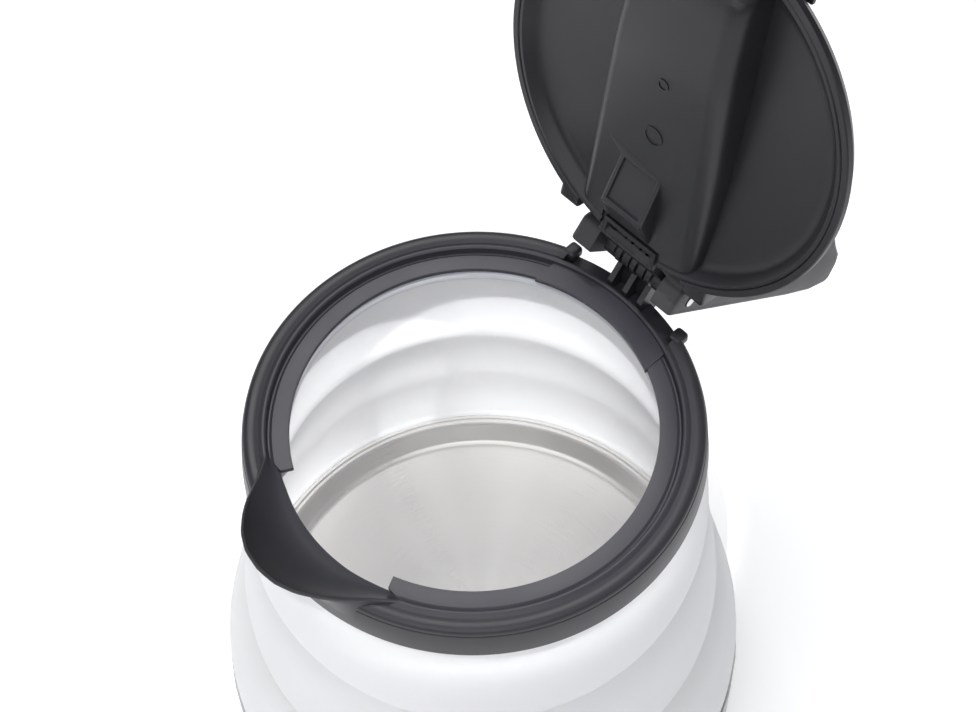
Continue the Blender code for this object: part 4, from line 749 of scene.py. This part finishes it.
# %% Outer skin
dome = [(51.9, 2.0), (50.3, 4.5), (47.4, 6.8), (43.1, 8.3), (35.0, 9.0), (26.0, 9.65), (13.0, 10.3),
        (0.0, 10.5)]
skin = spun("lid_skin", closed(
    [(50.15, 0.0), (51.6, 0.0), (51.9, 0.3)] + dome
    + [(max(radius - 2.0, 0.0), rise - 1.6) for radius, rise in dome[::-1]] + [(49.9, 0.25)]))
shoulder_inside, shoulder_outside = 0.0183, 0.0250
for side in (-1, 1):
    low, high = sorted((side * shoulder_inside, side * shoulder_outside))
    shoulder = cube("shoulder", (0.032, low, 0.1506), (0.0516, high, 0.1580))
    round_edges(shoulder, 0.0008, 3)
    hollow = spun("shoulder_hollow", closed([
        (0.0, -5.0), (50.9, -5.0), (50.9, 3.0), (44.0, 12.0), (0.0, 12.0)]), 96)
    combine(shoulder, hollow, "DIFFERENCE")
    combine(skin, shoulder, "UNION")
nose_root, nose_back = 0.0510, 0.0415


def nose_loop(height, reach, half):
    """Outline of the lid's nose over the spout at one height."""
    points = []
    for step in range(25):
        share = step / 12 - 1
        out = nose_root + (reach - nose_root) * (1 - abs(share) ** 2.2)
        points.append((-out, half * share, height))
    return points + [(-nose_back, half, height), (-nose_back, -half, height)]


nose = lofted("lid_nose", [nose_loop(0.1573, 0.0687, 0.0224), nose_loop(0.1576, 0.0692, 0.0227),
                           nose_loop(0.1586, 0.0692, 0.0227), nose_loop(0.1591, 0.0686, 0.0222)])
combine(skin, nose, "UNION")
lips = handle_space("opening_lips", 0.0015, 0.1544, 0.1580)
lips_limit = spun("lips_limit", closed([
    (0.0, -5.0), (46.9, -5.0), (46.9, 20.0), (0.0, 20.0)]), 96)
combine(lips, lips_limit, "INTERSECT")
combine(skin, lips, "UNION")
combine(skin, handle_space("handle_opening", 0.0003, 0.130, 0.330), "DIFFERENCE")
finish_mesh(skin, 30.0)
swung(skin)
dress(skin, "lid", "lid_cover")

# %% [markdown]
# The inner moulding starts as a turned dish. The handle's box is drawn in plan, cut by its sloping
# floor and rounded before it is joined on, because an edge can be rounded well only while the
# faces beside it are still large and plain.

# %% Dish
dish = spun("lid_dish", closed([
    (49.75, 0.3), (49.5, 0.05), (48.7, 0.05), (48.4, 0.25), (46.9, 2.2), (46.3, 2.8),
    (45.5, 3.2), (44.4, 3.45), (43.4, 3.5), (0.0, 3.5), (0.0, 4.8), (45.2, 4.8), (46.6, 4.6),
    (48.6, 2.9), (49.6, 1.6), (49.75, 1.2)]))

# %% [markdown]
# The handle's box is not the same width on both sides, and its two edges are rounded by different
# radii. Each row of the table gives, in millimetres, a distance from the pin, the reach of the
# right and the left wall, and the height of the flat face.

# %% Box for the folded handle
box_places = [(8.0, 20.2, 18.5, 149.4), (14.6, 20.3, 18.4, 149.4), (30.0, 20.5, 17.8, 147.25),
              (52.0, 20.0, 17.2, 144.2), (70.0, 18.8, 16.6, 141.7), (76.5, 18.4, 16.4, 140.8),
              (85.0, 17.4, 16.2, 140.6), (99.0, 16.4, 15.9, 140.6), (102.0, 16.0, 15.7, 141.1),
              (103.0, 15.6, 15.4, 141.9), (103.4, 15.2, 15.0, 143.2)]
box_top, right_edge, left_edge, least_wall = 153.2, 5.0, 3.4, 0.2


def box_page(along):
    """The box's section across the lid: two walls, two rounded edges and the flat face."""
    right, left, face = between(box_places, along)
    points = [(-right, box_top)]
    for wall, start, rounded in ((-right, 180, right_edge), (left, 270, left_edge)):
        radius = min(rounded, box_top - face - least_wall)
        centre = wall - math.copysign(radius, wall)
        points += [(centre + radius * math.cos(math.radians(start + turn)),
                    face + radius + radius * math.sin(math.radians(start + turn)))
                   for turn in range(0, 91, 10)]
    points.append((left, box_top))
    return [(hinge.x - along / 1000, y / 1000, z / 1000) for y, z in points]


stops = ([8.0, 14.6] + [14.6 + 5.0 * step for step in range(1, 17)]
         + [99.0, 100.6, 102.0, 103.0, 103.4])
box = lofted("handle_box", [box_page(stop) for stop in stops])
box_limit = spun("box_limit", closed([
    (0.0, -20.0), (47.6, -20.0), (47.6, 3.0), (46.0, 4.3), (0.0, 4.3)]), 128)
combine(box, box_limit, "INTERSECT")
combine(dish, box, "UNION")
pocket = handle_space("handle_pocket", 0.0, 0.1300, 0.1800)
pocket_floor = [(-0.0600, 0.1426), (-0.0167, 0.1426), (0.0514, 0.1513), (0.0700, 0.1513)]
room = outlined("pocket_room", pocket_floor + [(0.0700, 0.1900), (-0.0600, 0.1900)], -0.03, 0.03)
combine(pocket, room, "INTERSECT")
combine(dish, pocket, "DIFFERENCE")
print("dish and box:", len(dish.data.polygons), "faces")

# %% [markdown]
# Small things tell the eye that this is a moulded part: two round marks of the ejector pins, the
# wedge-shaped housing with its sunk top, and the slotted frame where the hinge is fixed.

# %% Latch housing
def along_lid(points):
    """Millimetres from the pin along the lid and above the table, as (x, z) in metres."""
    return [(hinge.x - along / 1000, height / 1000) for along, height in points]


housing = outlined("latch_housing", along_lid([
    (41.5, 146.2), (26.2, 142.4), (16.5, 148.9), (16.5, 152.0), (41.5, 149.0)]), -0.0060, 0.0074)
round_edges(housing, 0.0006, 3)
combine(housing, outlined("housing_top", along_lid([
    (39.6, 130.0), (39.6, 146.3), (27.5, 143.3), (27.5, 130.0)]), -0.0046, 0.0060), "DIFFERENCE")
combine(housing, outlined("housing_limit", along_lid([
    (50.0, 120.0), (50.0, 145.5), (15.0, 150.0), (10.0, 150.0), (10.0, 120.0)]),
    -through_half, through_half), "INTERSECT")
combine(dish, housing, "UNION")

# %% Marks of the ejector pins, square to the box's sloping face
face_normal = Vector((-0.1363, 0.0, 0.9907))
mark_across, mark_ring, mark_proud, mark_sunk, mark_root = -0.0012, 0.0005, 0.00025, 0.0002, 0.0008
for along, radius, height in ((52.9, 0.0029, 144.08), (70.4, 0.0017, 141.64)):
    (x, z), = along_lid([(along, height)])
    centre = Vector((x, mark_across, z))
    mark = rod("pin_mark", radius, centre - face_normal * mark_proud,
               centre + face_normal * mark_root)
    inside = rod("mark_inside", radius - mark_ring, centre - face_normal * 0.001,
                 centre + face_normal * mark_sunk)
    combine(mark, inside, "DIFFERENCE")
    combine(dish, mark, "UNION")

# %% Slotted frame
relief_half, frame_half, slot_half = 0.0098, 0.0088, 0.0076
relief = cube("frame_relief", (0.0440, -relief_half, 0.1480), (0.0540, relief_half, 0.1501))
combine(dish, relief, "DIFFERENCE")
slotted = cube("slotted_frame", (0.0453, -frame_half, 0.14915), (0.0512, frame_half, 0.1509))
round_edges(slotted, 0.00025, 2)
combine(dish, slotted, "UNION")
slot = cube("frame_slot", (0.0466, -slot_half, 0.1480), (0.0500, slot_half, 0.1511))
combine(dish, slot, "DIFFERENCE")

# %% Bracket and knuckles
bracket_half, knuckle_radius, relief_radius, relief_reach = 0.0097, 0.0034, 0.0042, 0.0012
combine(dish, outlined("bracket", [
    (0.04872, 0.15022), (0.05000, 0.14925), (0.05045, 0.14929), (0.06115, 0.15759),
    (0.06005, 0.15901)], -bracket_half, bracket_half), "UNION")
for low, high in ((-0.0100, -0.0067), (-0.0037, -0.0015), (0.0015, 0.0037), (0.0067, 0.0100)):
    combine(dish, across_hinge("knuckle", knuckle_radius, low, high, 40), "UNION")
for middle in rib_middles:
    combine(dish, across_hinge("rib_relief", relief_radius, middle - relief_reach,
                               middle + relief_reach, 40), "DIFFERENCE")
combine(dish, across_hinge("knuckle_bore", pin_bore, -through_half, through_half), "DIFFERENCE")
finish_mesh(dish, 30.0)
swung(dish)
dress(dish, "lid", "lid_liner")

# %% [markdown]
# ## Handle
# The handle's own node already has its long curve, its two cheeks and the hollow under it. A copy
# with softened edges catches the light as a moulding does.

# %% Handle
grip = copied("handle_shell", "handle_moulding")
round_edges(grip, 0.0003, 2)
bpy.ops.object.shade_smooth_by_angle(angle=math.radians(40))
dress(grip, "handle", "handle_shell")

# %% [markdown]
# ## Studio
# The picture is a plain white studio. The floor is pale and glows a little, as paper does under
# lamps that are out of the picture. The room is a soft grey, and the light comes from large lamps
# above and to the left, so that black plastic shows broad reflections on one side and stays deep
# on the other.

# %% Floor, room and lamps
bpy.ops.mesh.primitive_plane_add(size=8.0, location=(0.0, 0.0, -0.0002))
floor = bpy.context.object
floor.name = "studio_floor"
paper = bpy.data.materials.new("white_paper")
paper.use_nodes = True
paper_shader = paper.node_tree.nodes["Principled BSDF"]
paper_shader.inputs["Base Color"].default_value = (0.92, 0.92, 0.93, 1.0)
paper_shader.inputs["Roughness"].default_value = 0.9
paper_shader.inputs["Emission Color"].default_value = (0.97, 0.98, 1.0, 1.0)
paper_shader.inputs["Emission Strength"].default_value = 0.50
floor.data.materials.append(paper)

sky = bpy.data.worlds.new("studio_sky")
sky.use_nodes = True
room_light = sky.node_tree.nodes["Background"]
room_light.inputs["Color"].default_value = (0.96, 0.97, 1.0, 1.0)
room_light.inputs["Strength"].default_value = 0.20
bpy.context.scene.world = sky
bpy.context.scene.view_settings.view_transform = "Standard"


def hung_lamp(kind, name, place, level, power):
    """A lamp that points at the kettle's axis, at a height above the table."""
    bpy.ops.object.light_add(type=kind, location=place)
    lamp = bpy.context.object
    lamp.name, lamp.data.energy = name, power
    aim = Vector((0.0, 0.0, level)) - Vector(place)
    lamp.rotation_euler = aim.to_track_quat("-Z", "Y").to_euler()
    return lamp


for name, place, level, width, power in (
        ("front_softbox", (-0.80, -0.55, 1.50), 0.1, 1.7, 12.0),
        ("back_softbox", (0.40, 0.60, 1.40), 0.1, 0.9, 8.0),
        ("left_softbox", (-1.1, 0.7, 0.8), 0.12, 1.2, 4.0)):
    hung_lamp("AREA", name, place, level, power).data.size = width
    print(name, "is", width, "m wide")

# %% [markdown]
# Black plastic takes all its shine from the large lamps. The kettle's inside needs more light
# than they can send through its mouth, so three narrow lamps reach down into it. They don't show
# in reflections.

# %% Narrow lamps that reach down into the kettle
for name, place, power, cone in (
        ("mouth_lamp_front", (-0.45, -0.25, 1.60), 450.0, 3.3),
        ("mouth_lamp_side", (0.10, -0.50, 1.60), 450.0, 3.3),
        ("mouth_lamp_low", (-0.75, -0.85, 1.20), 20.0, 2.6)):
    lamp = hung_lamp("SPOT", name, place, 0.14, power)
    lamp.data.spot_size, lamp.data.spot_blend = math.radians(cone), 0.2
    lamp.data.shadow_soft_size = 0.025
    lamp.visible_glossy = False
    print(name, "opens", cone, "degrees")
